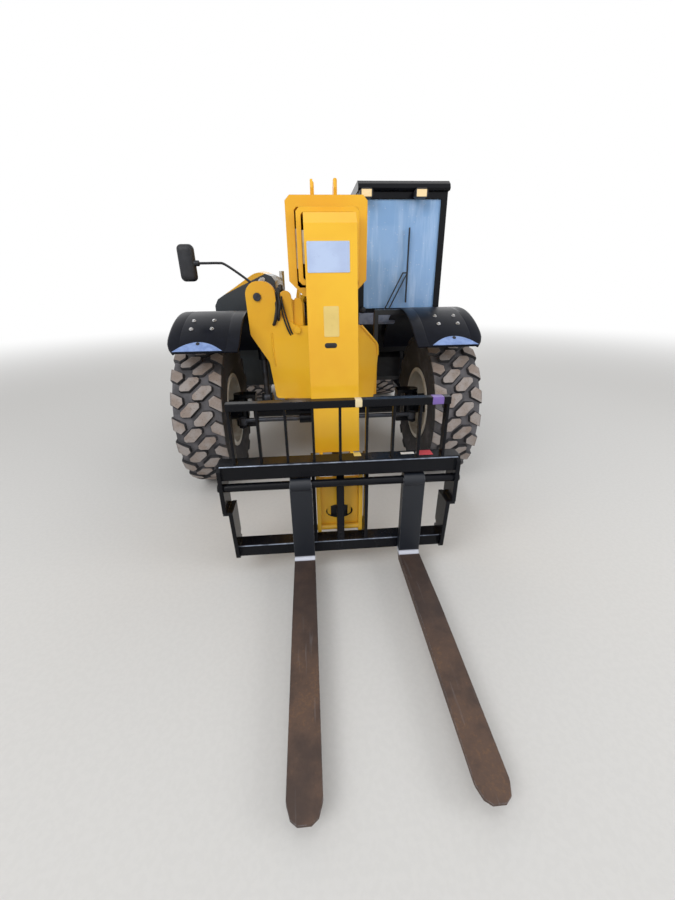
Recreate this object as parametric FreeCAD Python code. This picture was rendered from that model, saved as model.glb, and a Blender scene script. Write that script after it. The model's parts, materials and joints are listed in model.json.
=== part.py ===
import FreeCAD, Part
import math
import os

# Telehandler: a four-wheel telescopic handler with pallet forks.
# Millimetres. Front faces -Y, the machine's left (cab side) is +X, +Z up, ground at z = 0.
# While the pieces are made, y = 0 is the front axle. They are saved with the origin
# on the ground under the middle of the bounding box.

V = FreeCAD.Vector

# Stance
wheelbase = 2750.0
rear_overhang = 1000.0
axle_to_heel = 1530.0
tyre_radius = 640.0
tyre_width = 390.0
wheel_offset = 1025.0
kingpin_offset = 800.0
steer_limit = 35.0

# Clearances
running_gap = 6.0
pin_gap = 0.8
seat_gap = 0.3
pad_gap = 0.5
pin_proud = 12.0

# Chassis
rail_outer = 428.0
rail_plate = 28.0
frame_bottom = 540.0
frame_top = 980.0
arch_bottom = 800.0
belly_plate = 20.0
arch_plate = 30.0
bulkhead_front = -230.0
bulkhead_plate = 25.0
tower_pin_x = -533.0
tower_pin_z = 1612.0
tower_depth = 145.0
tower_plate = 20.0
rear_tower_inner = 250.0
rear_tower_plate = 28.0

# Tow hitch
tow_half = 60.0
tow_bottom = 490.0
tow_plate = 20.0
tow_mouth = 55.0
tow_hole = 16.0
tow_y = 3700.0

# Boom pivot and lift cylinders
pivot_y = 3420.0
pivot_z = 1980.0
pivot_pin = 45.0
lift_base_y = 2900.0
lift_base_z = 900.0
lift_top_y = 1600.0
lift_top_z = 1560.0
lift_x = 125.0
lift_eye_width = 70.0
lift_barrel_radius = 65.0
lift_rod_radius = 36.0
lift_stroke = 1246.0
lift_pin = 30.0
ear_plate = 20.0
lift_limit = 68.0

# Boom sections
outer_half = 215.0
outer_bottom = 1665.0
outer_top = 2145.0
outer_wall = 10.0
outer_front = -630.0
outer_tail = 3560.0
collar_half = 260.0
collar_bottom = 1620.0
collar_top = 2200.0
collar_length = 110.0
collar_cut = 95.0
mid_half = 172.0
mid_bottom = 1712.0
mid_top = 2098.0
mid_wall = 8.0
mid_front = -745.0
mid_tail = 3320.0
inner_half = 132.0
inner_bottom = 1752.0
inner_top = 2058.0
inner_wall = 8.0
inner_tail = 3090.0
pad_length = 85.0
boom_travel = 3000.0

# Boom head
nose_half = 150.0
nose_wall = 12.0
nose_back = -765.0
nose_front_top = -985.0
nose_knee_y = -1150.0
nose_knee_z = 900.0
nose_foot_y = -1190.0
nose_foot_z = 700.0
nose_top = 2062.0
hinge_y = -1240.0
hinge_z = 620.0
hinge_pin = 30.0
cheek_inner = 88.0
cheek_plate = 22.0

# Tilt cylinder
tilt_base_y = -935.0
tilt_base_z = 1330.0
tilt_eye_y = -1180.0
tilt_eye_z = 400.0
tilt_barrel_radius = 48.0
tilt_rod_radius = 28.0
tilt_pin = 26.0
tilt_back = 18.0
tilt_dump = 98.0
tilt_slide_per_radian = 185.0
tilt_lug_plate = 22.0

# Quick hitch and fork frame
hitch_plate = 24.0
hitch_front = -1416.0
hook_y = -1385.0
hook_z = 735.0
hook_radius = 25.0
lock_z = 262.0
lock_radius = 18.0
beam_half = 683.0
lower_half = 651.0
frame_plate = 23.0
top_beam_bottom = 702.0
top_beam_top = 794.0
top_beam_front = -1517.0
top_beam_rear = -1420.0
low_beam_bottom = 145.0
low_beam_top = 220.0
low_beam_front = -1478.0
low_beam_rear = -1380.0
side_step = 490.0
post_half = 22.0
guard_top = 1144.0
guard_rail = 39.0
guard_half = 588.0
guard_depth = 50.0
guard_bars = 9
guard_bar = 14.0
shaft_z = 648.0
shaft_y = -1500.0
shaft_radius = 24.0

# Forks
fork_length = 1225.0
fork_width = 127.0
fork_thickness = 50.0
fork_tip = 12.0
fork_under = 86.0
fork_left_x = 424.0
fork_right_x = -230.0

# Cab
cab_inner = 345.0
cab_outer = 1150.0
cab_front = 470.0
cab_rear = 1930.0
cab_lean = 20.0
cab_floor = 990.0
cab_sill = 1440.0
cab_roof_line = 2440.0
cab_wall = 36.0
cab_post = 56.0
glass = 6.0
roof_height = 80.0
door_bottom = 1045.0
door_front = 560.0
door_rear = 1790.0
door_rail = 52.0
door_waist = 1500.0
door_limit = 95.0
hinge_pin_radius = 6.0
lamp_centres = (400, 880)
lamp_z = 2405.0
lamp_front = 372.0
wiper_x = 640.0
wiper_z = 1456.0
cab_middle = (cab_inner + cab_outer) / 2
floor_top = cab_floor + cab_wall

# Seat and steering wheel
seat_front = 1260.0
seat_top = 1450.0
wheel_centre = V(cab_middle, 1010, 1640)
column_foot = V(cab_middle, 950, floor_top + 200)
column_radius = 32.0
ring_radius = 185.0
ring_half = 15.0
ring_sides = 6
ring_flats = 20

# Engine side
pod_inner = -440.0
pod_outer = -1110.0
pod_bottom = 650.0
pod_top = 1420.0
pod_wall = 20.0
cover_hinge_z = 1640.0
cover_top = 1852.0
cover_front = 690.0
cover_rear = 2125.0
cover_wall = 12.0
cover_limit = 55.0
cover_pin = 8.0

# Corners with a smaller radius are straight cuts, and bars and bores are made in flats
least_arc = 100.0
least_edge = 1e-6
round_flats = 16

# Axles
axle_radius = 78.0
case_flats = 20
diff_radius = 138.0
yoke_inner = 656.0
yoke_half = 60.0
yoke_gap = 118.0
yoke_arm = 34.0
kingpin = 24.0
spindle = 60.0
steer_arm_x = -35.0
steer_arm_y = 200.0
steer_z = 600.0
steer_rod = 20.0
steer_barrel = 42.0

# Wheels
rim_flats = 24
rim_radius = 316.0
rim_flange = 336.0
rim_wall = 14.0
rim_half = 172.0
rim_lip = 14.0
bead_setback = 10.0
disc_offset = -15.0

# Tyre lugs, standing on the carcass in slanted columns
lugs_round = 16
lug_height = 28.0
lug_sink = 6.0
lug_half = 51.0
inner_lug_x = 43.0
inner_lug_reach = 60.0
inner_lug_slope = 0.6
inner_lug_shift = 0.1
outer_lug_x = 151.0
outer_lug_reach = 34.0
outer_lug_slope = -0.8
shoulder_drop = 8.0
tread_half = 188.0
belly_radius = 430.0

# Mudguards
guard_radius = 850.0
guard_skin = 12.0
guard_lip = 28.0
guard_flats = 45
guard_inner_x = 650.0
guard_outer_x = 1180.0

fork_tip_y = -(axle_to_heel + fork_length)
rear_end = wheelbase + rear_overhang
middle_y = (fork_tip_y + rear_end) / 2


# Shapes


def block(xs, ys, zs):
    return Part.makeBox(xs[1] - xs[0], ys[1] - ys[0], zs[1] - zs[0], V(xs[0], ys[0], zs[0]))


def flat_sided(start, end, radius, turn):
    # bar in flats whose corners lie on the circle of that radius
    way = end - start
    rotation = FreeCAD.Rotation(V(0, 0, 1), way)
    ring = []
    for k in range(round_flats):
        angle = 2 * math.pi * (k + turn) / round_flats
        ring.append(start + rotation.multVec(V(radius * math.cos(angle), radius * math.sin(angle), 0)))
    return Part.Face(Part.makePolygon(ring + ring[:1])).extrude(way)


def bar(start, end, radius):
    return flat_sided(start, end, radius, 0.5)


def pin(start, end, radius):
    # a joint turns on it, so it is truly round
    return Part.makeCylinder(radius, (end - start).Length, start, end - start)


def bore(start, end, radius):
    # its flats lie on the circle of that radius and face the corners of a bar in it
    return flat_sided(start, end, corner_radius(radius, round_flats), 0)


def along_x(x0, x1, y, z, radius):
    return bar(V(x0, y, z), V(x1, y, z), radius)


def along_y(y0, y1, x, z, radius):
    return bar(V(x, y0, z), V(x, y1, z), radius)


def along_z(z0, z1, x, y, radius):
    return bar(V(x, y, z0), V(x, y, z1), radius)


def bore_x(x0, x1, y, z, radius):
    return bore(V(x0, y, z), V(x1, y, z), radius)


def bore_y(y0, y1, x, z, radius):
    return bore(V(x, y0, z), V(x, y1, z), radius)


def bore_z(z0, z1, x, y, radius):
    return bore(V(x, y, z0), V(x, y, z1), radius)


def fuse(shapes):
    joined = shapes[0].multiFuse(shapes[1:])
    return joined.removeSplitter()


def mirrored(shape):
    return shape.mirror(V(0, 0, 0), V(1, 0, 0))


def both(shape):
    return [shape, mirrored(shape)]


def corner(points, i):
    # tangent points and middle of the arc at corner i, each point (a, b, corner radius)
    a, b, radius = points[i]
    here = V(a, b, 0)
    back = V(points[i - 1][0], points[i - 1][1], 0) - here
    ahead_point = points[(i + 1) % len(points)]
    ahead = V(ahead_point[0], ahead_point[1], 0) - here
    if radius == 0:
        return here, here, here
    back.normalize()
    ahead.normalize()
    half = back.getAngle(ahead) / 2
    reach = radius / math.tan(half)
    inward = back + ahead
    inward.normalize()
    middle = here + inward * (radius / math.sin(half) - radius)
    return here + back * reach, middle, here + ahead * reach


def outline(points):
    corners = [corner(points, i) for i in range(len(points))]
    edges = []
    for i, (start, middle, end) in enumerate(corners):
        if (end - start).Length > least_edge:
            cut = points[i][2] < least_arc
            edge = Part.LineSegment(start, end) if cut else Part.Arc(start, middle, end)
            edges.append(edge.toShape())
        following = corners[(i + 1) % len(corners)][0]
        if (following - end).Length > least_edge:
            edges.append(Part.LineSegment(end, following).toShape())
    return Part.Wire(edges)


def side_turn(shape):
    # drawn (a, b) becomes (y, z)
    shape.Placement = FreeCAD.Placement(V(0, 0, 0), FreeCAD.Rotation(V(1, 1, 1), 120))
    return shape


def side_plate(points, x0, x1):
    face = side_turn(Part.Face(outline(points)))
    face.translate(V(x0, 0, 0))
    return face.extrude(V(x1 - x0, 0, 0))


def front_plate(points, y0, y1):
    # drawn (a, b) becomes (x, z)
    face = Part.Face(outline(points))
    face.Placement = FreeCAD.Placement(V(0, y0, 0), FreeCAD.Rotation(V(1, 0, 0), 90))
    return face.extrude(V(0, y1 - y0, 0))


def plan_plate(points, z0, z1):
    face = Part.Face(outline(points))
    face.translate(V(0, 0, z0))
    return face.extrude(V(0, 0, z1 - z0))


def tube_along_y(half, z0, z1, wall, y0, y1):
    radius = 2.5 * wall
    skin = [(-half, z0, radius), (half, z0, radius), (half, z1, radius), (-half, z1, radius)]
    inside = half - wall
    bore = [(-inside, z0 + wall, radius - wall), (inside, z0 + wall, radius - wall),
            (inside, z1 - wall, radius - wall), (-inside, z1 - wall, radius - wall)]
    return front_plate(skin, y0, y1).cut(front_plate(bore, y0 - 1, y1 + 1))


# Chassis


def rail():
    points = [
        (bulkhead_front + bulkhead_plate, arch_bottom, 0),
        (bulkhead_front + bulkhead_plate, frame_top + 140, 40),
        (300, frame_top + 140, 80),
        (520, frame_top, 80),
        (wheelbase + 900, frame_top, 60),
        (wheelbase + 900, frame_bottom + 80, 80),
        (wheelbase + 410, frame_bottom + 80, 60),
        (wheelbase + 310, arch_bottom, 60),
        (wheelbase - 310, arch_bottom, 60),
        (wheelbase - 470, frame_bottom, 60),
        (470, frame_bottom, 60),
        (310, arch_bottom, 60),
    ]
    return side_plate(points, rail_outer - rail_plate, rail_outer)


def bulkhead():
    # front plate with the levelling tower on the machine's right
    left = tower_pin_x - 92
    points = [
        (-445, arch_bottom, 20), (-480, 1110, 40), (left + 12, 1330, 40), (left, tower_pin_z + 113, 100),
        (left + 225, tower_pin_z + 113, 100), (-385, 1480, 60), (-230, 1392, 60), (280, 1392, 30),
        (425, 1230, 20), (rail_outer + 2, 1145, 10), (398, 775, 15),
    ]
    front = front_plate(points, bulkhead_front, bulkhead_front + bulkhead_plate)
    tower = [
        (-rail_outer, 1000, 0), (-480, 1110, 40), (left + 12, 1330, 40), (left, tower_pin_z + 113, 100),
        (left + 225, tower_pin_z + 113, 100), (-rail_outer + rail_plate, 1480, 0),
        (-rail_outer + rail_plate, 1000, 0),
    ]
    back_y = bulkhead_front + tower_depth
    back = front_plate(tower, back_y, back_y + tower_plate)
    web = block((-rail_outer, -rail_outer + rail_plate), (bulkhead_front + 1, back_y + 1), (arch_bottom, 1480))
    pin_bore = bore_y(bulkhead_front - 1, back_y + tower_plate + 1, tower_pin_x, tower_pin_z, lift_pin + seat_gap)
    return fuse([front, back, web]).cut(pin_bore)


def rear_tower():
    plate = side_plate([
        (pivot_y - 440, arch_bottom + 10, 0), (pivot_y - 190, pivot_z - 230, 120),
        (pivot_y - 85, pivot_z + 110, 80), (pivot_y + 85, pivot_z + 110, 80),
        (pivot_y + 180, pivot_z - 230, 120), (wheelbase + 900, frame_bottom + 80, 0),
        (wheelbase + 420, frame_bottom + 80, 40), (wheelbase + 310, arch_bottom + 10, 40),
    ], rear_tower_inner, rear_tower_inner + rear_tower_plate)
    gusset = front_plate([
        (rear_tower_inner + rear_tower_plate, frame_top - 100, 0), (rail_outer - rail_plate, frame_top - 100, 0),
        (rail_outer, frame_top, 0), (rear_tower_inner + rear_tower_plate, pivot_z - 180, 0),
    ], pivot_y - 60, pivot_y - 35)
    reach = rear_tower_inner + rear_tower_plate
    plate = plate.cut(bore_x(rear_tower_inner - 1, reach + 1, pivot_y, pivot_z, pivot_pin + seat_gap))
    inside = rail_outer - rail_plate
    back = block((-inside, inside), (wheelbase + 876, wheelbase + 900), (frame_bottom + 80, 1450))
    return fuse(both(plate) + both(gusset) + [back] + tow_hitch())


def tow_hitch():
    # jaw of two plates under the counterweight, with a vertical pin hole
    wall_y = wheelbase + 876
    spine = block((-tow_half, tow_half), (wall_y, wall_y + 24), (tow_bottom, frame_bottom + 90))
    tow_bore = Part.makeCylinder(tow_hole, 2 * (tow_mouth + 2 * tow_plate), V(0, tow_y, tow_bottom - tow_plate))
    plates = []
    for low in (tow_bottom, tow_bottom + tow_mouth + tow_plate):
        plate = plan_plate([
            (-tow_half, wall_y, 0), (tow_half, wall_y, 0), (tow_half, rear_end - 8, 50),
            (-tow_half, rear_end - 8, 50),
        ], low, low + tow_plate)
        plates.append(plate.cut(tow_bore))
    return [spine] + plates


def cross_members():
    inside = rail_outer - rail_plate
    belly = block((-inside, inside), (470, wheelbase - 470), (frame_bottom, frame_bottom + belly_plate))
    front = block((-inside, inside), (bulkhead_front + bulkhead_plate, 290), (arch_bottom, arch_bottom + arch_plate))
    rear = block((-inside, inside), (wheelbase - 290, wheelbase + 290), (arch_bottom, arch_bottom + arch_plate))
    return fuse([belly, front, rear])


def frame_brackets():
    # ears of the lift cylinders' foot on the rear cross plate, and the brace between the rear tower's plates
    foot = arch_bottom + arch_plate
    half_gap = lift_eye_width / 2 + running_gap
    pin_bore = bore_x(-rail_outer, rail_outer, lift_base_y, lift_base_z, lift_pin + seat_gap)
    pieces = []
    for centre in (-lift_x, lift_x):
        for inner in (centre - half_gap - ear_plate, centre + half_gap):
            ear = side_plate([
                (lift_base_y - 106, foot, 0), (lift_base_y - 58, lift_base_z + 58, 55),
                (lift_base_y + 58, lift_base_z + 58, 55), (lift_base_y + 106, foot, 0),
            ], inner, inner + ear_plate)
            pieces.append(ear.cut(pin_bore))
    pieces.append(block((-rear_tower_inner, rear_tower_inner), (pivot_y - 250, pivot_y - 225), (frame_top - 60, 1560)))
    return Part.makeCompound(pieces)


def frame_pins():
    # boom pivot, foot of the lift cylinders and top of the levelling cylinder, each proud of its plates
    pivot = rear_tower_inner + rear_tower_plate + pin_proud
    foot = lift_x + lift_eye_width / 2 + running_gap + ear_plate + pin_proud
    front = bulkhead_front - pin_proud
    back = bulkhead_front + tower_depth + tower_plate + pin_proud
    return Part.makeCompound([
        pin(V(-pivot, pivot_y, pivot_z), V(pivot, pivot_y, pivot_z), pivot_pin),
        pin(V(-foot, lift_base_y, lift_base_z), V(foot, lift_base_y, lift_base_z), lift_pin),
        pin(V(tower_pin_x, front, tower_pin_z), V(tower_pin_x, back, tower_pin_z), lift_pin),
    ])


def outriggers():
    # arms that carry the cab, the tank and the engine pod, and those of the mudguards
    arms = []
    for y in (1130, 1720):
        arms.append(block((rail_outer - 2, cab_outer - 60), (y, y + 70), (frame_top - 35, cab_floor)))
        arms.append(block((pod_outer + 60, -rail_outer + 2), (y, y + 70), (pod_bottom - 60, pod_bottom)))
    for axle_y in (0, wheelbase):
        top = tyre_radius + guard_radius - seat_gap
        ys = (axle_y - 30, axle_y + 30)
        upright = block((rail_outer - 2, rail_outer + 32), ys, (arch_bottom + 40, top))
        arm = block((rail_outer, guard_outer_x - 140), ys, (top - 42, top))
        arms += both(upright) + both(arm)
    return arms


def chassis_frame():
    pieces = both(rail()) + [bulkhead(), rear_tower(), cross_members()] + outriggers()
    return fuse(pieces)


def counterweight():
    wing = wheelbase + 810
    back = rear_end
    seat = wheelbase + 900
    notch = tow_half + 12
    points = [
        (-1080, wing, 40), (-rail_outer, wing, 0), (-rail_outer, seat, 0), (rail_outer, seat, 0),
        (rail_outer, wing, 0), (1080, wing, 40), (1080, back, 120), (notch, back, 12),
        (notch, tow_y - 36, 20), (-notch, tow_y - 36, 20), (-notch, back, 12), (-1080, back, 120),
    ]
    return plan_plate(points, frame_bottom + 60, 1120)


def drivetrain():
    gearbox = block((-180, 180), (1250, 1700), (frame_bottom + belly_plate, 800))
    nose = axle_nose()
    front = along_y(nose, 1250, 0, tyre_radius, 32)
    rear = along_y(1700, wheelbase - nose, 0, tyre_radius, 32)
    return fuse([gearbox, front, rear])


# Axles, steering and wheels


def axle_nose():
    return diff_radius + 52


def axle(direction):
    # direction +1: propeller shaft leaves towards +y and the steering cylinder lies on the -y side
    z = tyre_radius
    tube = along_x(-yoke_inner - 10, yoke_inner + 10, 0, z, axle_radius)
    case = [(-140, 0), (-140, axle_radius), (-80, diff_radius), (80, diff_radius), (140, axle_radius), (140, 0)]
    ball = turned(case, case_flats)
    ball.translate(V(0, 0, z))
    nose_ends = sorted((0, direction * axle_nose()))
    nose = along_y(nose_ends[0], nose_ends[1], 0, z, 62)
    saddle = block((-100, 100), (-110, 110), (z + 80, arch_bottom))
    barrel = along_x(-260, 260, -direction * steer_arm_y, steer_z, steer_barrel)
    arm_ys = sorted((-direction * 40, -direction * (steer_arm_y - 20)))
    bracket = block((-70, 70), arm_ys, (steer_z - 20, steer_z + 20))
    rod_bore = bore_x(-300, 300, -direction * steer_arm_y, steer_z, steer_rod + pin_gap)
    pieces = [tube, ball, nose, saddle, barrel, bracket]
    for side in (-1, 1):
        xs = sorted((side * yoke_inner, side * (yoke_inner + 30)))
        pieces.append(block(xs, (-yoke_half, yoke_half), (z - yoke_gap - yoke_arm, z + yoke_gap + yoke_arm)))
        for low in (z - yoke_gap - yoke_arm, z + yoke_gap):
            arm = block(sorted((side * yoke_inner, side * kingpin_offset)), (-yoke_half, yoke_half),
                        (low, low + yoke_arm))
            end = along_z(low, low + yoke_arm, side * kingpin_offset, 0, yoke_half)
            pieces += [arm, end]
    body = fuse(pieces)
    for side in (-1, 1):
        body = body.cut(bore_z(z - 200, z + 200, side * kingpin_offset, 0, kingpin + pin_gap))
    return body.cut(rod_bore)


def front_axle():
    # the levelling cylinder stands on a lug of the right-hand tube
    y = levelling_y()
    low = levelling_foot()
    lugs = []
    for x in (tower_pin_x - 28 - 18, tower_pin_x + 28):
        lugs.append(side_plate([
            (-40, tyre_radius + 30, 0), (y - 34, low - 34, 20), (y - 34, low + 34, 30), (y + 34, low + 34, 30),
            (40, tyre_radius + 60, 0),
        ], x, x + 18))
    foot = along_x(tower_pin_x - 46, tower_pin_x + 46, y, low, 20)
    return fuse([axle(1), foot] + lugs)


def rear_axle():
    body = axle(-1)
    body.translate(V(0, wheelbase, 0))
    return body


def levelling_y():
    return bulkhead_front + bulkhead_plate + (tower_depth - bulkhead_plate) / 2


def levelling_foot():
    return tyre_radius + 150


def levelling_barrel():
    y = levelling_y()
    barrel = along_z(levelling_foot() + 330, tower_pin_z - 30, tower_pin_x, y, 44)
    eye = along_y(y - 40, y + 40, tower_pin_x, tower_pin_z, 52)
    pin_bore = bore_y(y - 60, y + 60, tower_pin_x, tower_pin_z, lift_pin + pin_gap)
    rod_bore = bore_z(0, tower_pin_z - 120, tower_pin_x, y, 24 + pin_gap)
    return fuse([barrel, eye]).cut(pin_bore).cut(rod_bore)


def levelling_rod():
    y = levelling_y()
    rod = along_z(levelling_foot() + 20, tower_pin_z - 130, tower_pin_x, y, 24)
    eye = along_x(tower_pin_x - 26, tower_pin_x + 26, y, levelling_foot(), 36)
    return fuse([rod, eye]).cut(bore_x(tower_pin_x - 60, tower_pin_x + 60, y, levelling_foot(), 20 + pin_gap))


def knuckle(direction):
    # left-hand knuckle, steering arm on the side away from the propeller shaft
    z = tyre_radius
    body = along_z(z - yoke_gap + running_gap, z + yoke_gap - running_gap, kingpin_offset, 0, yoke_half + 2)
    upright = pin(V(kingpin_offset, 0, z - yoke_gap - yoke_arm), V(kingpin_offset, 0, z + yoke_gap + yoke_arm), kingpin)
    housing = along_x(kingpin_offset, wheel_offset + disc_offset - 24, 0, z, 92)
    shaft = pin(V(kingpin_offset, 0, z), V(wheel_offset + 20, 0, z), spindle)
    arm_top = steer_z - 46
    tip_x = kingpin_offset + steer_arm_x
    tip_y = -direction * steer_arm_y
    arm = plan_plate([
        (kingpin_offset - 36, 0, 0), (tip_x - 32, tip_y - direction * 30, 28),
        (tip_x + 32, tip_y - direction * 30, 28), (kingpin_offset + 36, 0, 0),
    ], arm_top - 22, arm_top)
    return fuse([body, upright, housing, shaft, arm])


def steering_rod(direction):
    y = -direction * steer_arm_y
    reach = kingpin_offset + steer_arm_x
    rod = along_x(-reach, reach, y, steer_z, steer_rod)
    eyes = []
    for side in (-1, 1):
        eyes.append(along_z(steer_z - 40, steer_z + 22, side * reach, y, 34))
    return fuse([rod] + eyes)


def turned(points, flats):
    # drawn (x, radius), turned about the x axis in flats, one of them centred below the axis
    rings = []
    for k in range(flats):
        angle = math.radians(360.0 * (k + 0.5) / flats)
        rings.append([V(x, radius * math.cos(angle), radius * math.sin(angle)) for x, radius in points])
    faces = []
    for k, here in enumerate(rings):
        there = rings[(k + 1) % flats]
        for i in range(len(points)):
            j = (i + 1) % len(points)
            loop = [here[i], here[j], there[j], there[i]]
            ends = [p for n, p in enumerate(loop) if (p - loop[n - 1]).Length > least_edge]
            if len(ends) > 2:
                faces.append(Part.Face(Part.makePolygon(ends + ends[:1])))
    solid = Part.Solid(Part.Shell(faces))
    return solid if solid.Volume > 0 else solid.reversed()


def corner_radius(flat_distance, flats):
    # radius of the corners of a turned shape whose flats lie at that distance
    return flat_distance / math.cos(math.pi / flats)


def rim():
    # left-hand rim about the x axis, x = 0 at the tyre's middle
    half = rim_half
    barrel_in = rim_radius - rim_wall
    hole = corner_radius(spindle + pin_gap, rim_flats)
    well = [
        (-half, barrel_in), (disc_offset - 10, barrel_in), (disc_offset - 10, hole), (disc_offset + 36, hole),
        (disc_offset + 36, 0), (disc_offset + 96, 0), (disc_offset + 96, 120), (disc_offset + 8, 180),
        (disc_offset + 8, barrel_in), (half, barrel_in), (half, rim_flange), (half - rim_lip, rim_flange),
        (half - rim_lip, rim_radius), (-half + rim_lip, rim_radius), (-half + rim_lip, rim_flange), (-half, rim_flange),
    ]
    return turned(well, rim_flats)


def lug_far(reach, slope):
    # distance of a lug's far corner from the lug's middle, around the tyre
    return abs(slope) * reach + lug_half


def lug(middle_x, reach, slope, low, high):
    ends = []
    for x, side in ((-reach, -1), (reach, -1), (reach, 1), (-reach, 1)):
        ends.append(V(middle_x + x, slope * x + side * lug_half, low))
    return Part.Face(Part.makePolygon(ends + ends[:1])).extrude(V(0, 0, high - low))


def tyre():
    half = tyre_width / 2
    tread = tyre_radius - lug_height
    bead = corner_radius(rim_radius + seat_gap, lugs_round)
    seat = rim_half - rim_lip - bead_setback
    carcass = turned([(-seat, bead), (seat, bead), (half, belly_radius), (tread_half, tread),
                      (-tread_half, tread), (-half, belly_radius)], lugs_round)
    # column: middle x, shift in pitches, reach, slope, drop of its tops
    columns = (
        (-outer_lug_x, 0.14, outer_lug_reach, outer_lug_slope, shoulder_drop),
        (-inner_lug_x, -inner_lug_shift, inner_lug_reach, inner_lug_slope, 0),
        (inner_lug_x, inner_lug_shift, inner_lug_reach, inner_lug_slope, 0),
        (outer_lug_x, 0.09, outer_lug_reach, outer_lug_slope, shoulder_drop),
    )
    flat = tread * math.cos(math.pi / lugs_round)
    lugs = []
    for middle_x, shift, reach, slope, drop in columns:
        top = math.sqrt(tyre_radius ** 2 - lug_far(reach, slope) ** 2) - drop
        for k in range(lugs_round):
            shape = lug(middle_x, reach, slope, flat - lug_sink, top)
            shape.rotate(V(0, 0, 0), V(1, 0, 0), 180 + 360.0 * (k + shift) / lugs_round)
            lugs.append(shape)
    # a far corner of an inner lug touches the ground
    standing = math.degrees(math.asin(lug_far(inner_lug_reach, inner_lug_slope) / tyre_radius))
    shape = carcass.multiFuse(lugs)
    shape.rotate(V(0, 0, 0), V(1, 0, 0), standing + 360.0 * inner_lug_shift / lugs_round)
    return shape


# Mudguards, lamps and mirror


def arch(axle_y, first, last):
    # flats about the axle, counted from the one above it, with a lip along the outer edge
    step = 360.0 / guard_flats

    def sector(inside, outside):
        points = []
        for distance, order in ((inside, 1), (outside, -1)):
            radius = corner_radius(distance, guard_flats)
            for k in range(first, last + 2)[::order]:
                angle = math.radians(90 + (k - 0.5) * step)
                points.append((axle_y + radius * math.cos(angle), tyre_radius + radius * math.sin(angle), 0))
        return points

    outside = guard_radius + guard_skin
    skin = side_plate(sector(guard_radius, outside), guard_inner_x, guard_outer_x)
    lip = side_plate(sector(guard_radius - guard_lip, outside), guard_outer_x - guard_skin, guard_outer_x)
    return fuse([skin, lip])


def mudguards():
    guards = []
    for axle_y, first, last in ((0, -7, 5), (wheelbase, -7, 7)):
        guards += both(arch(axle_y, first, last))
    return Part.makeCompound(guards)


def work_lamps():
    housings = []
    lean = (lamp_z - 10 - cab_sill) / (cab_roof_line - cab_sill)
    header_y = cab_front + cab_lean * lean - seat_gap
    for x in lamp_centres:
        shell = front_plate([
            (x - 55, lamp_z - 38, 16), (x + 55, lamp_z - 38, 16), (x + 55, lamp_z + 38, 16), (x - 55, lamp_z + 38, 16),
        ], lamp_front, lamp_front + 70)
        pocket = block((x - 44, x + 44), (lamp_front - 1, lamp_front + 14), (lamp_z - 27, lamp_z + 27))
        stalk = block((x - 12, x + 12), (lamp_front + 68, header_y), (lamp_z - 10, lamp_z + 10))
        housings.append(fuse([shell.cut(pocket), stalk]))
    return Part.makeCompound(housings)


def work_lamp_lenses():
    lenses = []
    for x in lamp_centres:
        lenses.append(block((x - 44, x + 44), (lamp_front + 2, lamp_front + 14), (lamp_z - 27, lamp_z + 27)))
    return Part.makeCompound(lenses)


def tail_lamps():
    lamps = []
    for x in (-900, 900):
        lamps.append(block((x - 110, x + 110), (rear_end - 60, rear_end - 10), (1120, 1210)))
    return Part.makeCompound(lamps)


def mirror():
    # right-hand mirror on an arm that leaves the top of the levelling tower
    y = bulkhead_front + 10
    head = front_plate([(-1100, 1735, 45), (-916, 1735, 45), (-916, 1980, 45), (-1100, 1980, 45)], y - 30, y + 20)
    foot = V(-570, y, tower_pin_z + 106)
    bend = V(-770, y, 1850)
    level = V(-930, y, 1850)
    return fuse([head, bar(foot, bend, 9), bar(bend, level, 9)])


# Cab


def cab_profile():
    return [
        (cab_front, cab_sill, 0), (cab_front + cab_lean, cab_roof_line, 0), (cab_rear - 70, cab_roof_line, 0),
        (cab_rear, cab_sill + 60, 80), (cab_rear, cab_floor, 0), (890, cab_floor, 0), (710, 1245, 60),
    ]


def cab_shell():
    face = Part.Face(outline(cab_profile()))
    inside = face.makeOffset2D(-cab_wall)
    shell = side_turn(face).extrude(V(cab_outer - cab_inner, 0, 0))
    core = side_turn(inside).extrude(V(cab_outer - cab_inner - 2 * cab_wall, 0, 0))
    core.translate(V(cab_wall, 0, 0))
    hollow = shell.cut(core)
    hollow.translate(V(cab_inner, 0, 0))
    return hollow


def windscreen_opening():
    return (cab_inner + cab_post, cab_outer - cab_post), (cab_sill + 36, cab_roof_line - 60)


def door_points(inset):
    return [
        (930 + inset, door_bottom + inset, 40), (door_rear - inset, door_bottom + inset, 40),
        (door_rear - inset, door_waist, 200), (door_rear - 60 - inset, cab_roof_line - 45 - inset, 60),
        (door_front + inset, cab_roof_line - 45 - inset, 40), (door_front + inset, door_waist, 60),
        (745 + inset, 1290, 60),
    ]


def inner_window_points(inset):
    return [
        (cab_front + 70 + inset, cab_sill + 60 + inset, 40), (cab_rear - 110 - inset, cab_sill + 60 + inset, 40),
        (cab_rear - 150 - inset, cab_roof_line - 70 - inset, 50),
        (cab_front + 90 + inset, cab_roof_line - 70 - inset, 40),
    ]


def rear_window():
    return (cab_inner + 70, cab_outer - 70), (cab_sill + 120, cab_roof_line - 90)


def cab_frame():
    xs, zs = windscreen_opening()
    front = block(xs, (cab_front - 20, cab_front + cab_wall + 24), zs)
    door = side_plate(door_points(-seat_gap - 5), cab_outer - cab_wall - 1, cab_outer + 1)
    inner = side_plate(inner_window_points(0), cab_inner - 1, cab_inner + cab_wall + 1)
    rear_xs, rear_zs = rear_window()
    rear = block(rear_xs, (cab_rear - 160, cab_rear + 10), rear_zs)
    return fuse([cab_shell().cut(front).cut(door).cut(inner).cut(rear)] + cab_hinges())


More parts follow.
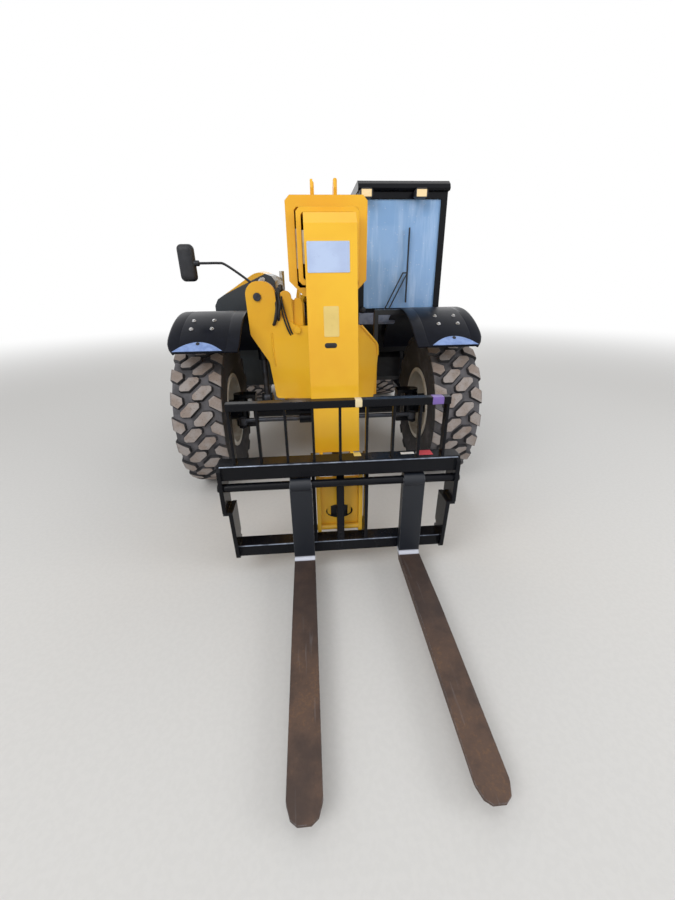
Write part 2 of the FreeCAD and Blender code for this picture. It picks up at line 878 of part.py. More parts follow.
def slanted_pane(xs, zs, y_low, y_high):
    # pane between two heights, set back along the cab's front or rear slope
    return side_plate([(y_low, zs[0], 0), (y_low + glass, zs[0], 0), (y_high + glass, zs[1], 0),
                       (y_high, zs[1], 0)], xs[0], xs[1])


def cab_glass():
    xs, zs = windscreen_opening()
    slope = cab_lean / (cab_roof_line - cab_sill)
    face = [cab_front + 12 + slope * (z - cab_sill) for z in zs]
    screen = slanted_pane(xs, zs, face[0], face[1])
    side = side_plate(inner_window_points(seat_gap), cab_inner + 14, cab_inner + 14 + glass)
    rear_xs, rear_zs = rear_window()
    back_slope = 70 / (cab_roof_line - cab_sill - 60)
    back = [cab_rear - 24 - back_slope * (z - cab_sill - 60) for z in rear_zs]
    pane = slanted_pane(rear_xs, rear_zs, back[0], back[1])
    return Part.makeCompound([screen, side, pane])


def cab_roof():
    xs = (cab_inner - 8, cab_outer + 8)
    top = cab_roof_line + roof_height
    shell = side_plate([
        (cab_front - 25, cab_roof_line, 12), (cab_rear - 45, cab_roof_line, 12), (cab_rear - 60, top, 55),
        (cab_front + 10, top, 50),
    ], xs[0], xs[1])
    return shell


def door_frame():
    skin = side_plate(door_points(0), cab_outer - cab_wall, cab_outer)
    hole = side_plate(door_points(door_rail), cab_outer - cab_wall - 1, cab_outer + 1)
    waist = block((cab_outer - cab_wall, cab_outer), (door_front + 10, door_rear - 10), (door_waist - 30, door_waist + 30))
    waist = waist.common(skin)
    handle = bar(V(cab_outer + 22, door_front + 90, door_waist - 90), V(cab_outer + 22, door_front + 90, door_waist + 60), 9)
    stubs = []
    for z in (door_waist - 80, door_waist + 50):
        stubs.append(bar(V(cab_outer - 4, door_front + 90, z), V(cab_outer + 22, door_front + 90, z), 9))
    ring = skin.cut(hole)
    arms = []
    for z in door_hinge_heights():
        arms.append(block((cab_outer, cab_outer + 6), (door_rear - 44, door_rear - 6), (z - 20, z + 20)))
        arms.append(block((cab_outer + 5, door_axis_x()), (door_rear - 44, door_axis_y()), (z - 20, z + 20)))
        arms.append(along_z(z - 20, z + 20, door_axis_x(), door_axis_y(), 13))
    pad = block((cab_outer - cab_wall, cab_outer), (door_front + 20, door_front + 125), (door_waist - 110, door_waist))
    leaf = fuse([ring, waist, handle, pad.common(skin)] + stubs + arms)
    return leaf.cut(bore_z(door_bottom, cab_roof_line, door_axis_x(), door_axis_y(), hinge_pin_radius + pin_gap))


def cab_hinges():
    # pins of the door, each held by a bracket above and below the door's knuckle
    held = []
    for z in door_hinge_heights():
        held.append(pin(V(door_axis_x(), door_axis_y(), z - 34), V(door_axis_x(), door_axis_y(), z + 34),
                        hinge_pin_radius))
        for low in (z - 34, z + 22):
            held.append(block((cab_outer - 2, door_axis_x() + 10), (door_axis_y() - 10, door_axis_y() + 16),
                              (low, low + 12)))
    return held


def door_axis_x():
    return cab_outer + 20


def door_axis_y():
    return door_rear + 26


def door_hinge_heights():
    return (door_waist - 260, door_waist + 380)


def door_glass():
    x = cab_outer - cab_wall / 2
    pane = side_plate(door_points(door_rail + seat_gap), x - glass / 2, x + glass / 2)
    waist = block((x - glass, x + glass), (door_front - 10, door_rear + 10),
                  (door_waist - 30 - seat_gap, door_waist + 30 + seat_gap))
    pad = block((x - glass, x + glass), (door_front + 20, door_front + 125 + seat_gap),
                (door_waist - 110 - seat_gap, door_waist))
    return pane.cut(waist).cut(pad)


def seat_base():
    pedestal = block((cab_middle - 170, cab_middle + 170), (seat_front + 60, seat_front + 400), (floor_top, 1330))
    tray = plan_plate([
        (cab_middle - 230, seat_front + 10, 40), (cab_middle + 230, seat_front + 10, 40),
        (cab_middle + 230, seat_front + 460, 40), (cab_middle - 230, seat_front + 460, 40),
    ], 1330, 1350)
    return fuse([pedestal, tray])


def seat_cushions():
    cushion = plan_plate([
        (cab_middle - 240, seat_front, 60), (cab_middle + 240, seat_front, 60),
        (cab_middle + 240, seat_front + 400, 40), (cab_middle - 240, seat_front + 400, 40),
    ], 1350 + seat_gap, seat_top)
    back = side_plate([
        (seat_front + 405, 1350 + seat_gap, 0), (seat_front + 500, 1370, 30), (seat_front + 580, 1990, 50),
        (seat_front + 470, 1990, 50), (seat_front + 405, 1460, 0),
    ], cab_middle - 230, cab_middle + 230)
    return Part.makeCompound([cushion, back])


def steering_wheel():
    axis = wheel_centre - column_foot
    lean = column_radius * (wheel_centre.y - column_foot.y) / axis.Length
    start = column_foot + V(0, 0, lean + seat_gap)
    section = []
    for k in range(ring_sides):
        angle = 2 * math.pi * k / ring_sides
        section.append((ring_half * math.cos(angle), ring_radius + ring_half * math.sin(angle)))
    ring = turned(section, ring_flats)
    ring.Placement = FreeCAD.Placement(wheel_centre, FreeCAD.Rotation(V(1, 0, 0), axis))
    column = bar(start, wheel_centre, column_radius)
    half_hub = V(axis).normalize() * 13
    hub = bar(wheel_centre - half_hub, wheel_centre + half_hub, 48)
    across = V(1, 0, 0)
    up = axis.cross(across)
    up.normalize()
    spokes = [bar(wheel_centre, wheel_centre + across * 182, 11), bar(wheel_centre, wheel_centre - across * 182, 11),
              bar(wheel_centre, wheel_centre + up * 182, 11)]
    return fuse([ring, column, hub] + spokes)


def dashboard():
    low = cab_sill + 36
    front = cab_front + cab_wall + 2
    hood = side_plate([
        (front, low, 0), (front + 170, low - 140, 40), (front + 270, low - 70, 60),
        (front + 200, low + 60, 60), (front, low + 25, 0),
    ], cab_inner + cab_wall + seat_gap, cab_outer - cab_wall - 50)
    foot = block((cab_middle - 60, cab_middle + 60), (column_foot.y - 35, column_foot.y + 50),
                 (floor_top, column_foot.z))
    console = plan_plate([
        (cab_inner + cab_wall, 1150, 0), (cab_inner + cab_wall + 110, 1150, 30),
        (cab_inner + cab_wall + 110, 1720, 30), (cab_inner + cab_wall, 1720, 0),
    ], floor_top, 1520)
    lever = bar(V(cab_inner + cab_wall + 55, 1220, 1500), V(cab_inner + cab_wall + 60, 1190, 1660), 12)
    knob = turned([(-28, 0), (-18, 22), (18, 22), (28, 0)], 8)
    knob.translate(V(cab_inner + cab_wall + 60, 1190, 1670))
    return hood, foot, fuse([console, lever, knob])


def wiper():
    y = cab_front - 26
    pivot = V(wiper_x, y, wiper_z)
    other = V(wiper_x - 42, y, wiper_z)
    head = V(wiper_x + 170, y, wiper_z + 330)
    near = head - V(42, 0, 0)
    blade = block((head.x - 5, head.x + 5), (y - 4, y + 22), (wiper_z + 70, wiper_z + 700))
    pieces = [bar(pivot, head, 6), bar(other, near, 6), bar(near - V(4, 0, 0), head + V(4, 0, 0), 6), blade]
    for shaft in (pivot, other):
        pieces.append(along_y(y - 8, cab_front + 0.1, shaft.x, shaft.z, 9))
    return fuse(pieces)


# Engine side


def pod_profile():
    return [
        (885, pod_bottom, 0), (885, 980, 80), (690, 1300, 40), (690, pod_top, 0), (2120, pod_top, 0),
        (2120, 1330, 40), (1880, 980, 80), (1880, pod_bottom, 0),
    ]


def grille_box():
    return (1150, 1800), (790, 1310)


def engine_pod():
    face = Part.Face(outline(pod_profile()))
    inside = face.makeOffset2D(-pod_wall)
    width = pod_inner - pod_outer
    shell = side_turn(face).extrude(V(width, 0, 0))
    core = side_turn(inside).extrude(V(width - 2 * pod_wall, 0, 0))
    core.translate(V(pod_wall, 0, 0))
    tray = shell.cut(core)
    tray.translate(V(pod_outer, 0, 0))
    lid = block((pod_outer + pod_wall, pod_inner - pod_wall), (690 + pod_wall, 2120 - pod_wall), (pod_top - 40, pod_top + 5))
    ys, zs = grille_box()
    window = block((pod_outer - 1, pod_outer + pod_wall + 1), ys, zs)
    wall = block((pod_inner - pod_wall, pod_inner), (720, 2120), (pod_top - 60, cover_hinge_z - 22))
    held = [pin(V(cover_axis_x(), cover_front + 160, cover_hinge_z), V(cover_axis_x(), cover_rear - 300, cover_hinge_z),
                cover_pin)]
    for y in (cover_front + 160, cover_front + 290, cover_rear - 450, cover_rear - 320):
        held.append(block((pod_inner - 12, pod_inner), (y, y + 20), (cover_hinge_z - 30, cover_hinge_z + 6)))
    return fuse([tray.cut(lid).cut(window), wall] + held)


def cover_axis_x():
    return pod_inner - 6


def radiator_grille():
    ys, zs = grille_box()
    rim_width = 26
    x0 = pod_outer
    x1 = pod_outer + pod_wall
    frame = block((x0, x1), ys, zs).cut(block((x0 - 1, x1 + 1), (ys[0] + rim_width, ys[1] - rim_width),
                                             (zs[0] + rim_width, zs[1] - rim_width)))
    slats = []
    count = 14
    pitch = (zs[1] - zs[0] - 2 * rim_width) / count
    for i in range(count):
        z = zs[0] + rim_width + pitch * (i + 0.5)
        slats.append(side_plate([(ys[0] + 20, z - 5, 0), (ys[1] - 20, z - 5, 0), (ys[1] - 20, z + 5, 0),
                                 (ys[0] + 20, z + 5, 0)], x0 + 2, x1 - 2))
    return fuse([frame] + slats)


def engine_block():
    return block((-960, -560), (960, 1780), (pod_bottom + pod_wall, 1330))


def cover_outline(outer, top, bottom, inset):
    # bonnet section: hinge edge, crown, sloping shoulder and straight outer side
    inner = pod_inner - 12 - inset
    side = outer + inset
    crown = top - inset
    return [
        (inner, cover_hinge_z + 12 - inset, 0), (inner - 4, crown - 60, 50), (inner - 170, crown, 150),
        (side + 170, crown - 170, 170), (side, bottom + 130, 70), (side, bottom - inset / 4, 0),
        (inner - 60, bottom - inset / 4, 0), (inner - 60, cover_hinge_z + 12 - inset, 0),
    ]


def cover_wire(y, outer, top, inset):
    wire = outline(cover_outline(outer, top, pod_top + running_gap, inset))
    wire.Placement = FreeCAD.Placement(V(0, y, 0), FreeCAD.Rotation(V(1, 0, 0), 90))
    return wire


def engine_cover():
    stations = ((cover_front, pod_outer + 40, cover_top - 25), (cover_front + 500, pod_outer, cover_top),
                (cover_rear, pod_outer, cover_top - 10))
    skin = Part.makeLoft([cover_wire(y, outer, top, 0) for y, outer, top in stations], True, True)
    inner = []
    for y, outer, top in stations:
        shift = {cover_front: cover_wall, cover_rear: -cover_wall}.get(y, 0)
        inner.append(cover_wire(y + shift, outer, top, cover_wall))
    core = Part.makeLoft(inner, True, True)
    knuckles = []
    for y in (cover_front + 190, cover_rear - 420):
        knuckles.append(along_y(y, y + 90, cover_axis_x(), cover_hinge_z, 16))
        knuckles.append(block((cover_axis_x() - 30, cover_axis_x()), (y, y + 90), (cover_hinge_z + 4, cover_hinge_z + 16)))
    pin_bore = bore_y(cover_front, cover_rear, cover_axis_x(), cover_hinge_z, cover_pin + pin_gap)
    return fuse([skin.cut(core)] + knuckles).cut(pin_bore)


def exhaust():
    # leaves the pod's rear wall and turns upwards beside the boom
    x = pod_inner - 34
    wall_y = 2120
    level = pod_top - 48
    pipe_y = wall_y + 60
    return fuse([along_y(wall_y, pipe_y, x, level, 30), along_z(level - 24, cover_top + 22, x, pipe_y, 33)])


# Tank and steps


def fuel_tank():
    body = side_plate([
        (1130, 590, 60), (1840, 590, 60), (1840, frame_top - 35, 60), (1130, frame_top - 35, 60),
    ], rail_outer, 960)
    return body


def cab_steps():
    outer = 1120
    inner = 962
    plates = []
    for y in (1000, 1480):
        plates.append(side_turn_plate(y))
    treads = []
    for z in (470, 740):
        treads.append(block((inner, outer), (1000, 1500), (z, z + 30)))
    return fuse(plates + treads)


def side_turn_plate(y):
    return front_plate([(962, 470, 20), (1120, 470, 20), (1120, cab_floor, 0), (962, cab_floor, 0)], y, y + 20)


# Boom


def boom_outer():
    tube = tube_along_y(outer_half, outer_bottom, outer_top, outer_wall, outer_front, outer_tail)
    tail = block((-outer_half + 4, outer_half - 4), (outer_tail - outer_wall, outer_tail),
                 (outer_bottom + 4, outer_top - 4))
    inside = [(-outer_half + 5, outer_bottom + 5, 15), (outer_half - 5, outer_bottom + 5, 15),
              (outer_half - 5, outer_top - 5, 15), (-outer_half + 5, outer_top - 5, 15)]
    ring = [(-collar_half, collar_bottom, collar_cut), (collar_half, collar_bottom, collar_cut),
            (collar_half, collar_top, 30), (-collar_half, collar_top, 30)]
    collar = front_plate(ring, outer_front, outer_front + collar_length)
    collar = collar.cut(front_plate(inside, outer_front - 1, outer_front + collar_length + 1))
    boss = along_x(outer_half - 6, rear_tower_inner - running_gap, pivot_y, pivot_z, 92)
    ears = []
    half_gap = lift_eye_width / 2 + running_gap
    for centre in (-lift_x, lift_x):
        for inner in (centre - half_gap - ear_plate, centre + half_gap):
            ears.append(side_plate([
                (lift_top_y - 150, outer_bottom + 4, 0), (lift_top_y - 55, lift_top_z - 52, 50),
                (lift_top_y + 55, lift_top_z - 52, 50), (lift_top_y + 150, outer_bottom + 4, 0),
            ], inner, inner + ear_plate))
    guards = []
    for x in (-90, 55):
        guards.append(side_plate([
            (outer_front + 20, collar_top - 10, 0), (outer_front - 10, collar_top + 90, 40),
            (outer_front + 120, collar_top + 90, 50), (outer_front + 160, outer_top - 5, 0),
            (outer_front + 105, outer_top - 5, 0),
        ], x - 8, x + 8))
    body = fuse([tube, tail, collar] + both(boss) + ears + guards)
    return body.cut(bore_x(-400, 400, pivot_y, pivot_z, pivot_pin + pin_gap))


def boom_mid():
    tube = tube_along_y(mid_half, mid_bottom, mid_top, mid_wall, mid_front, mid_tail)
    ring = [(-mid_half - 22, mid_bottom - 22, 24), (mid_half + 22, mid_bottom - 22, 24),
            (mid_half + 22, mid_top + 22, 24), (-mid_half - 22, mid_top + 22, 24)]
    core = [(-mid_half + 4, mid_bottom + 4, 14), (mid_half - 4, mid_bottom + 4, 14),
            (mid_half - 4, mid_top - 4, 14), (-mid_half + 4, mid_top - 4, 14)]
    collar = front_plate(ring, mid_front, mid_front + 70).cut(front_plate(core, mid_front - 1, mid_front + 71))
    return fuse([tube, collar])


def pads(half, z0, z1, depth_side, depth_top, y0, y1, outward):
    # four blocks round a tube: they grow inwards from a bore or outwards from a skin
    centre = (z0 + z1) / 2
    tall = (z1 - z0) / 4
    wide = half / 2
    sign = 1 if outward else -1
    out = []
    for side in (-1, 1):
        xs = sorted((side * half, side * (half + sign * depth_side)))
        out.append(block(xs, (y0, y1), (centre - tall, centre + tall)))
    for level, way in ((z0, -1), (z1, 1)):
        zs = sorted((level, level + way * sign * depth_top))
        out.append(block((-wide, wide), (y0, y1), zs))
    return out


def outer_pads():
    inside = outer_half - outer_wall
    return Part.makeCompound(pads(
        inside, outer_bottom + outer_wall, outer_top - outer_wall, inside - mid_half - pad_gap,
        mid_bottom - outer_bottom - outer_wall - pad_gap, outer_front + 5, outer_front + 5 + pad_length, False))


def mid_pads():
    side = outer_half - outer_wall - mid_half - pad_gap
    level = mid_bottom - outer_bottom - outer_wall - pad_gap
    rear = pads(mid_half, mid_bottom, mid_top, side, level, mid_tail - pad_length, mid_tail, True)
    inside = mid_half - mid_wall
    front = pads(inside, mid_bottom + mid_wall, mid_top - mid_wall, inside - inner_half - pad_gap,
                 inner_bottom - mid_bottom - mid_wall - pad_gap, mid_front + 5, mid_front + 5 + pad_length, False)
    return Part.makeCompound(rear + front)


def inner_pads():
    side = mid_half - mid_wall - inner_half - pad_gap
    level = inner_bottom - mid_bottom - mid_wall - pad_gap
    return Part.makeCompound(pads(inner_half, inner_bottom, inner_top, side, level, inner_tail - pad_length,
                                  inner_tail, True))


def nose_points():
    return [
        (nose_back, nose_top, 0), (nose_front_top, nose_top, 70), (nose_knee_y, nose_knee_z, 0),
        (-885, nose_knee_z, 0), (-830, 1250, 60), (nose_back, 1560, 60),
    ]


def boom_inner():
    tube = tube_along_y(inner_half, inner_bottom, inner_top, inner_wall, nose_back - 6, inner_tail)
    face = Part.Face(outline(nose_points()))
    inside = face.makeOffset2D(-nose_wall)
    shell = side_turn(face).extrude(V(2 * nose_half, 0, 0))
    core = side_turn(inside).extrude(V(2 * (nose_half - nose_wall), 0, 0))
    core.translate(V(nose_wall, 0, 0))
    head = shell.cut(core)
    head.translate(V(-nose_half, 0, 0))
    mouth = block((-nose_half + nose_wall, nose_half - nose_wall), (nose_knee_y + nose_wall + 4, -885 - nose_wall),
                  (nose_knee_z - 1, nose_knee_z + nose_wall + 1))
    apron = side_plate([
        (nose_knee_y, nose_knee_z, 0), (nose_knee_y + nose_wall, nose_knee_z, 0),
        (nose_foot_y + nose_wall, nose_foot_z, 0), (nose_foot_y, nose_foot_z, 0),
    ], -nose_half, nose_half)
    cheek = side_plate([
        (-1108, 1150, 0), (nose_knee_y + 8, nose_knee_z, 0), (nose_foot_y + 8, nose_foot_z + 2, 0),
        (hinge_y - 62, hinge_z + 30, 50), (hinge_y - 25, hinge_z - 60, 50), (hinge_y + 90, hinge_z - 30, 60),
        (-1000, 900, 80), (-950, 1150, 0),
    ], cheek_inner, cheek_inner + cheek_plate)
    web = block((cheek_inner, nose_half - 5), (-1108, -950), (1130, 1150))
    side = nose_half - 3
    tilt_foot = pin(V(-side, tilt_base_y, tilt_base_z), V(side, tilt_base_y, tilt_base_z), tilt_pin)
    body = fuse([tube, head.cut(mouth), apron, tilt_foot] + both(cheek) + both(web))
    return body.cut(bore_x(-200, 200, hinge_y, hinge_z, hinge_pin + pin_gap))


# Cylinders


def cylinder_parts(base, eye, barrel_radius, rod_radius, pin_radius, half_width, closing, opening, eye_radius):
    # barrel and rod as they stand at rest: the rod can still close and open by the two travels
    way = eye - base
    way.normalize()
    barrel_start = eye_radius + 35
    rod_start = barrel_start + 15 + closing
    barrel_end = rod_start + opening + 30
    barrel = bar(base + way * barrel_start, base + way * barrel_end, barrel_radius)
    neck = bar(base, base + way * barrel_start, half_width - 2)
    base_eye = along_x(base.x - half_width, base.x + half_width, base.y, base.z, eye_radius)
    pin_bore = bore_x(base.x - 2 * half_width, base.x + 2 * half_width, base.y, base.z, pin_radius + pin_gap)
    rod_bore = bore(base + way * (barrel_start + 8), base + way * (barrel_end + 8), rod_radius + pin_gap)
    gland = bar(base + way * (barrel_end - 34), base + way * (barrel_end - 6), barrel_radius + 5)
    barrel = fuse([barrel, neck, base_eye, gland]).cut(pin_bore).cut(rod_bore)
    rod = bar(base + way * rod_start, eye, rod_radius)
    rod_eye = along_x(eye.x - half_width, eye.x + half_width, eye.y, eye.z, eye_radius)
    eye_bore = bore_x(eye.x - 2 * half_width, eye.x + 2 * half_width, eye.y, eye.z, pin_radius)
    return barrel, fuse([rod, rod_eye]).cut(eye_bore)


def lift_cylinders():
    barrels = []
    rods = []
    for x in (-lift_x, lift_x):
        barrel, rod = cylinder_parts(V(x, lift_base_y, lift_base_z), V(x, lift_top_y, lift_top_z),
                                     lift_barrel_radius, lift_rod_radius, lift_pin, lift_eye_width / 2,
                                     0, lift_stroke, 50)
        barrels.append(barrel)
        rods.append(rod)
    return Part.makeCompound(barrels), Part.makeCompound(rods)


def tilt_cylinder():
    # the rod closes as the forks tip forward
    base = V(0, tilt_base_y, tilt_base_z)
    eye = V(0, tilt_eye_y, tilt_eye_z)
    closing = tilt_slide_per_radian * math.radians(tilt_dump)
    opening = tilt_slide_per_radian * math.radians(tilt_back)
    return cylinder_parts(base, eye, tilt_barrel_radius, tilt_rod_radius, tilt_pin, 44, closing, opening, 44)


# Hitch, fork frame and forks


def hitch_side(x0):
    plate = side_plate([
        (hitch_front, hook_z + 21, 0), (hook_y + 45, hook_z + 21, 15), (-1290, 684, 40),
        (hinge_y + 60, hinge_z + 60, 50), (hinge_y + 60, hinge_z - 60, 50), (-1290, 420, 80),
        (-1335, lock_z - 34, 20), (hitch_front, lock_z - 34, 20),
    ], x0, x0 + hitch_plate)
    slot = bore_x(x0 - 1, x0 + hitch_plate + 1, hook_y, hook_z, hook_radius + seat_gap * 2)
    mouth = block((x0 - 1, x0 + hitch_plate + 1), (hook_y - hook_radius - 0.6, hook_y + hook_radius + 0.6),
                  (hook_z, hook_z + 60))
    return plate.cut(slot).cut(mouth)


def quick_hitch():
    outer = cheek_inner + cheek_plate + 8
    plates = both(hitch_side(outer))
    front = -1372
    cross = block((-outer - 1, outer + 1), (front, front + 20), (250, 610))
    ellipse = Part.Ellipse(V(0, 0, 0), 85, 50)
    hole = Part.Face(Part.Wire([ellipse.toShape()]))
    hole.Placement = FreeCAD.Placement(V(0, front - 5, 370), FreeCAD.Rotation(V(1, 0, 0), 90))
    cross = cross.cut(hole.extrude(V(0, 40, 0)))
    lugs = []
    inner = tilt_barrel_radius + running_gap
    lug = side_plate([
        (front + 15, 300, 0), (tilt_eye_y + 30, tilt_eye_z - 60, 50), (tilt_eye_y + 50, tilt_eye_z + 40, 50),
        (front + 15, 540, 0),
    ], inner, inner + tilt_lug_plate)
    lugs = both(lug)
    reach = outer + hitch_plate + pin_proud
    hinge = pin(V(-reach, hinge_y, hinge_z), V(reach, hinge_y, hinge_z), hinge_pin)
    lock = along_x(-frame_hook_outer() - 12, frame_hook_outer() + 12, hook_y, lock_z, lock_radius)
    return fuse(plates + [cross, hinge, lock] + lugs)


def frame_hook_inner():
    return cheek_inner + cheek_plate + 8 + hitch_plate + 4


def frame_hook_outer():
    return frame_hook_inner() + 20


def fork_frame():
    top = block((-beam_half, beam_half), (top_beam_front, top_beam_rear), (top_beam_bottom, top_beam_top))
    low = block((-lower_half, lower_half), (low_beam_front, low_beam_rear), (low_beam_bottom, low_beam_top))
    post = block((-post_half, post_half), (low_beam_front, low_beam_front + 50), (low_beam_bottom + 5, top_beam_top - 5))
    hook_plate = side_plate([
        (low_beam_front, low_beam_bottom, 0), (low_beam_rear, low_beam_bottom, 0), (hook_y + 36, lock_z - 32, 20),
        (hook_y + 36, lock_z + 34, 20), (-1412, lock_z + 90, 20), (-1412, top_beam_bottom - 40, 20),
        (hook_y + 40, top_beam_bottom - 2, 20), (hook_y + 40, hook_z + 40, 20), (top_beam_rear, top_beam_top - 2, 0),
        (low_beam_front, top_beam_top - 2, 0),
    ], frame_hook_inner(), frame_hook_outer())
    tube = along_x(-frame_hook_outer(), frame_hook_outer(), hook_y, hook_z, hook_radius)
    upper_side = side_plate([
        (shaft_y - 36, side_step - 10, 20), (shaft_y + 110, side_step - 10, 20), (shaft_y + 110, top_beam_top, 30),
        (shaft_y - 36, top_beam_top, 30),
    ], beam_half - frame_plate, beam_half)
    lower_side = side_plate([
        (shaft_y - 10, low_beam_bottom, 15), (shaft_y + 120, low_beam_bottom, 15), (shaft_y + 110, side_step + 10, 0),
        (shaft_y - 36, side_step + 10, 0),
    ], lower_half - frame_plate, lower_half)
    step = block((lower_half - frame_plate, beam_half), (shaft_y - 30, shaft_y + 105), (side_step - 10, side_step + 10))
    pieces = [top, low, post, tube] + both(hook_plate) + both(upper_side) + both(lower_side) + both(step)
    body = fuse(pieces + load_guard())
    body = body.cut(bore_x(-beam_half - 5, beam_half + 5, shaft_y, shaft_z, shaft_radius + seat_gap * 2))
    return body.cut(bore_x(-beam_half, beam_half, hook_y, lock_z, lock_radius + seat_gap * 2))


def load_guard():
    front = shaft_y - 30
    rail_bar = block((-guard_half, guard_half), (front, front + guard_depth), (guard_top - guard_rail, guard_top))
    pieces = [rail_bar]
    pitch = (2 * guard_half - guard_bar) / (guard_bars - 1)
    for i in range(guard_bars):
        x = -guard_half + guard_bar / 2 + pitch * i
        end = i in (0, guard_bars - 1)
        depth = guard_depth if end else 30
        ys = (top_beam_front + 1, top_beam_front + 1 + depth)
        pieces.append(block((x - guard_bar / 2, x + guard_bar / 2), ys, (top_beam_top - 4, guard_top - 4)))
    return pieces


def fork_shaft():
    return along_x(-beam_half - 12, beam_half + 12, shaft_y, shaft_z, shaft_radius)


def fork(x):
    heel = -axle_to_heel
    tip = heel - fork_length
    back = heel + fork_thickness
    top = fork_under + fork_thickness
    profile = side_plate([
        (back, fork_under, 55), (back, shaft_z + 20, 10), (heel, shaft_z + 20, 10), (heel, top, 12),
        (heel - 450, top, 0), (tip, fork_under - 4 + fork_tip, 0), (tip, fork_under - 4, 0),
        (heel - 300, fork_under, 0),
    ], -fork_width / 2, fork_width / 2)
    half = fork_width / 2
    plan = plan_plate([
        (-half, back + 20, 0), (-half, tip + 60, 30), (-half + 22, tip, 26), (half - 22, tip, 26),
        (half, tip + 60, 30), (half, back + 20, 0),
    ], 0, 900)
    blade = profile.common(plan)
    eye = along_x(-half + 4, half - 4, shaft_y, shaft_z, 42)
    body = fuse([blade, eye]).cut(bore_x(-half - 1, half + 1, shaft_y, shaft_z, shaft_radius + seat_gap * 2))
    body.translate(V(x, 0, 0))
    return body


def forks():
    return Part.makeCompound([fork(fork_right_x), fork(fork_left_x)])


# Everything


def wheel_places():
    # name, side sign, axle y, direction of the propeller shaft
    return (("front_left", 1, 0, 1), ("front_right", -1, 0, 1),
            ("rear_left", 1, wheelbase, -1), ("rear_right", -1, wheelbase, -1))


def build():
    lift_barrels, lift_rods = lift_cylinders()
    tilt_barrel, tilt_rod = tilt_cylinder()
    parts = {
        "chassis_frame": chassis_frame(),
        "frame_brackets": frame_brackets(),
        "frame_pins": frame_pins(),
        "counterweight": counterweight(),
        "drivetrain": drivetrain(),
        "front_axle": front_axle(),
        "rear_axle": rear_axle(),
        "levelling_barrel": levelling_barrel(),
        "levelling_rod": levelling_rod(),
        "mudguards": mudguards(),
        "work_lamps": work_lamps(),
        "work_lamp_lenses": work_lamp_lenses(),
        "tail_lamps": tail_lamps(),
        "mirror": mirror(),
        "cab_frame": cab_frame(),
        "cab_glass": cab_glass(),
        "cab_roof": cab_roof(),
        "seat_base": seat_base(),
        "seat_cushions": seat_cushions(),
        "steering_wheel": steering_wheel(),
        "dashboard": Part.makeCompound(list(dashboard())),
        "wiper": wiper(),
        "engine_pod": engine_pod(),
        "engine_block": engine_block(),
        "radiator_grille": radiator_grille(),
        "exhaust": exhaust(),
        "fuel_tank": fuel_tank(),
        "cab_steps": cab_steps(),
        "door_frame": door_frame(),
        "door_glass": door_glass(),
        "engine_cover": engine_cover(),
        "boom_outer": boom_outer(),
        "outer_pads": outer_pads(),
        "boom_mid": boom_mid(),
        "mid_pads": mid_pads(),
        "boom_inner": boom_inner(),
        "inner_pads": inner_pads(),
        "lift_barrels": lift_barrels,
        "lift_rods": lift_rods,
        "tilt_barrel": tilt_barrel,
        "tilt_rod": tilt_rod,
        "quick_hitch": quick_hitch(),
        "fork_frame": fork_frame(),
        "fork_shaft": fork_shaft(),
        "forks": forks(),
        "front_steering_rod": steering_rod(1),
        "rear_steering_rod": steering_rod(-1).translated(V(0, wheelbase, 0)),
    }
    rolling = tyre()
    for name, side, axle_y, direction in wheel_places():
        hub = knuckle(direction)
        hub = hub if side > 0 else mirrored(hub)
        parts["knuckle_" + name] = hub.translated(V(0, axle_y, 0))
        hub_centre = V(side * wheel_offset, axle_y, tyre_radius)
        disc = rim() if side > 0 else mirrored(rim())
        parts["rim_" + name] = disc.translated(hub_centre)
        parts["tyre_" + name] = rolling.translated(hub_centre)
    return parts


def main():
    os.makedirs("parts", exist_ok=True)
    for name, shape in build().items():
        moved = shape.translated(V(0, -middle_y, 0))
        moved.exportStep("parts/" + name + ".step")
        print(name, "solids", len(moved.Solids), "valid", moved.isValid(), "volume", round(moved.Volume / 1e6, 2))


main()
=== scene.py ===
import json
import math

import bmesh
import bpy
from mathutils import Matrix, Vector


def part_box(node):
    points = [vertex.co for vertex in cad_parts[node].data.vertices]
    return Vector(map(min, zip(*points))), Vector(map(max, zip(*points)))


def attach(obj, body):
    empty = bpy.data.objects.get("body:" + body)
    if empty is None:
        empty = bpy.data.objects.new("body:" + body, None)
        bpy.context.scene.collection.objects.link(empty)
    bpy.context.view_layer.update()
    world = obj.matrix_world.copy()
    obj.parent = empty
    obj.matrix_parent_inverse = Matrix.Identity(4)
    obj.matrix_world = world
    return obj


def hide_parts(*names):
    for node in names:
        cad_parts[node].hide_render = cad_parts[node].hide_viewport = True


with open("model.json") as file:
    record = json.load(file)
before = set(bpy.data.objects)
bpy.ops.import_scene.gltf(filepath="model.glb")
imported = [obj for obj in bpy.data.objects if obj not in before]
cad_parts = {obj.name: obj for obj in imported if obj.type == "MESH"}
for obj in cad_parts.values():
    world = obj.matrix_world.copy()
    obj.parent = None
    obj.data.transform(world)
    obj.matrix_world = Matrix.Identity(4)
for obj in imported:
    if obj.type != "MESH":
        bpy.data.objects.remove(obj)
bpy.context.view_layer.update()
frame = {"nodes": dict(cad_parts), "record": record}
cad = frame["nodes"]
slotOf = {part["node"]: part["material_slot"] for part in frame["record"]["subparts"]}
scene = bpy.context.scene
alongX = Vector((1, 0, 0))
alongY = Vector((0, 1, 0))
print("frame loaded,", len(cad), "nodes")


# colours and shader sums

screenCurve = dict(knee=0.04, slope=12.92, lift=0.055, power=2.4)


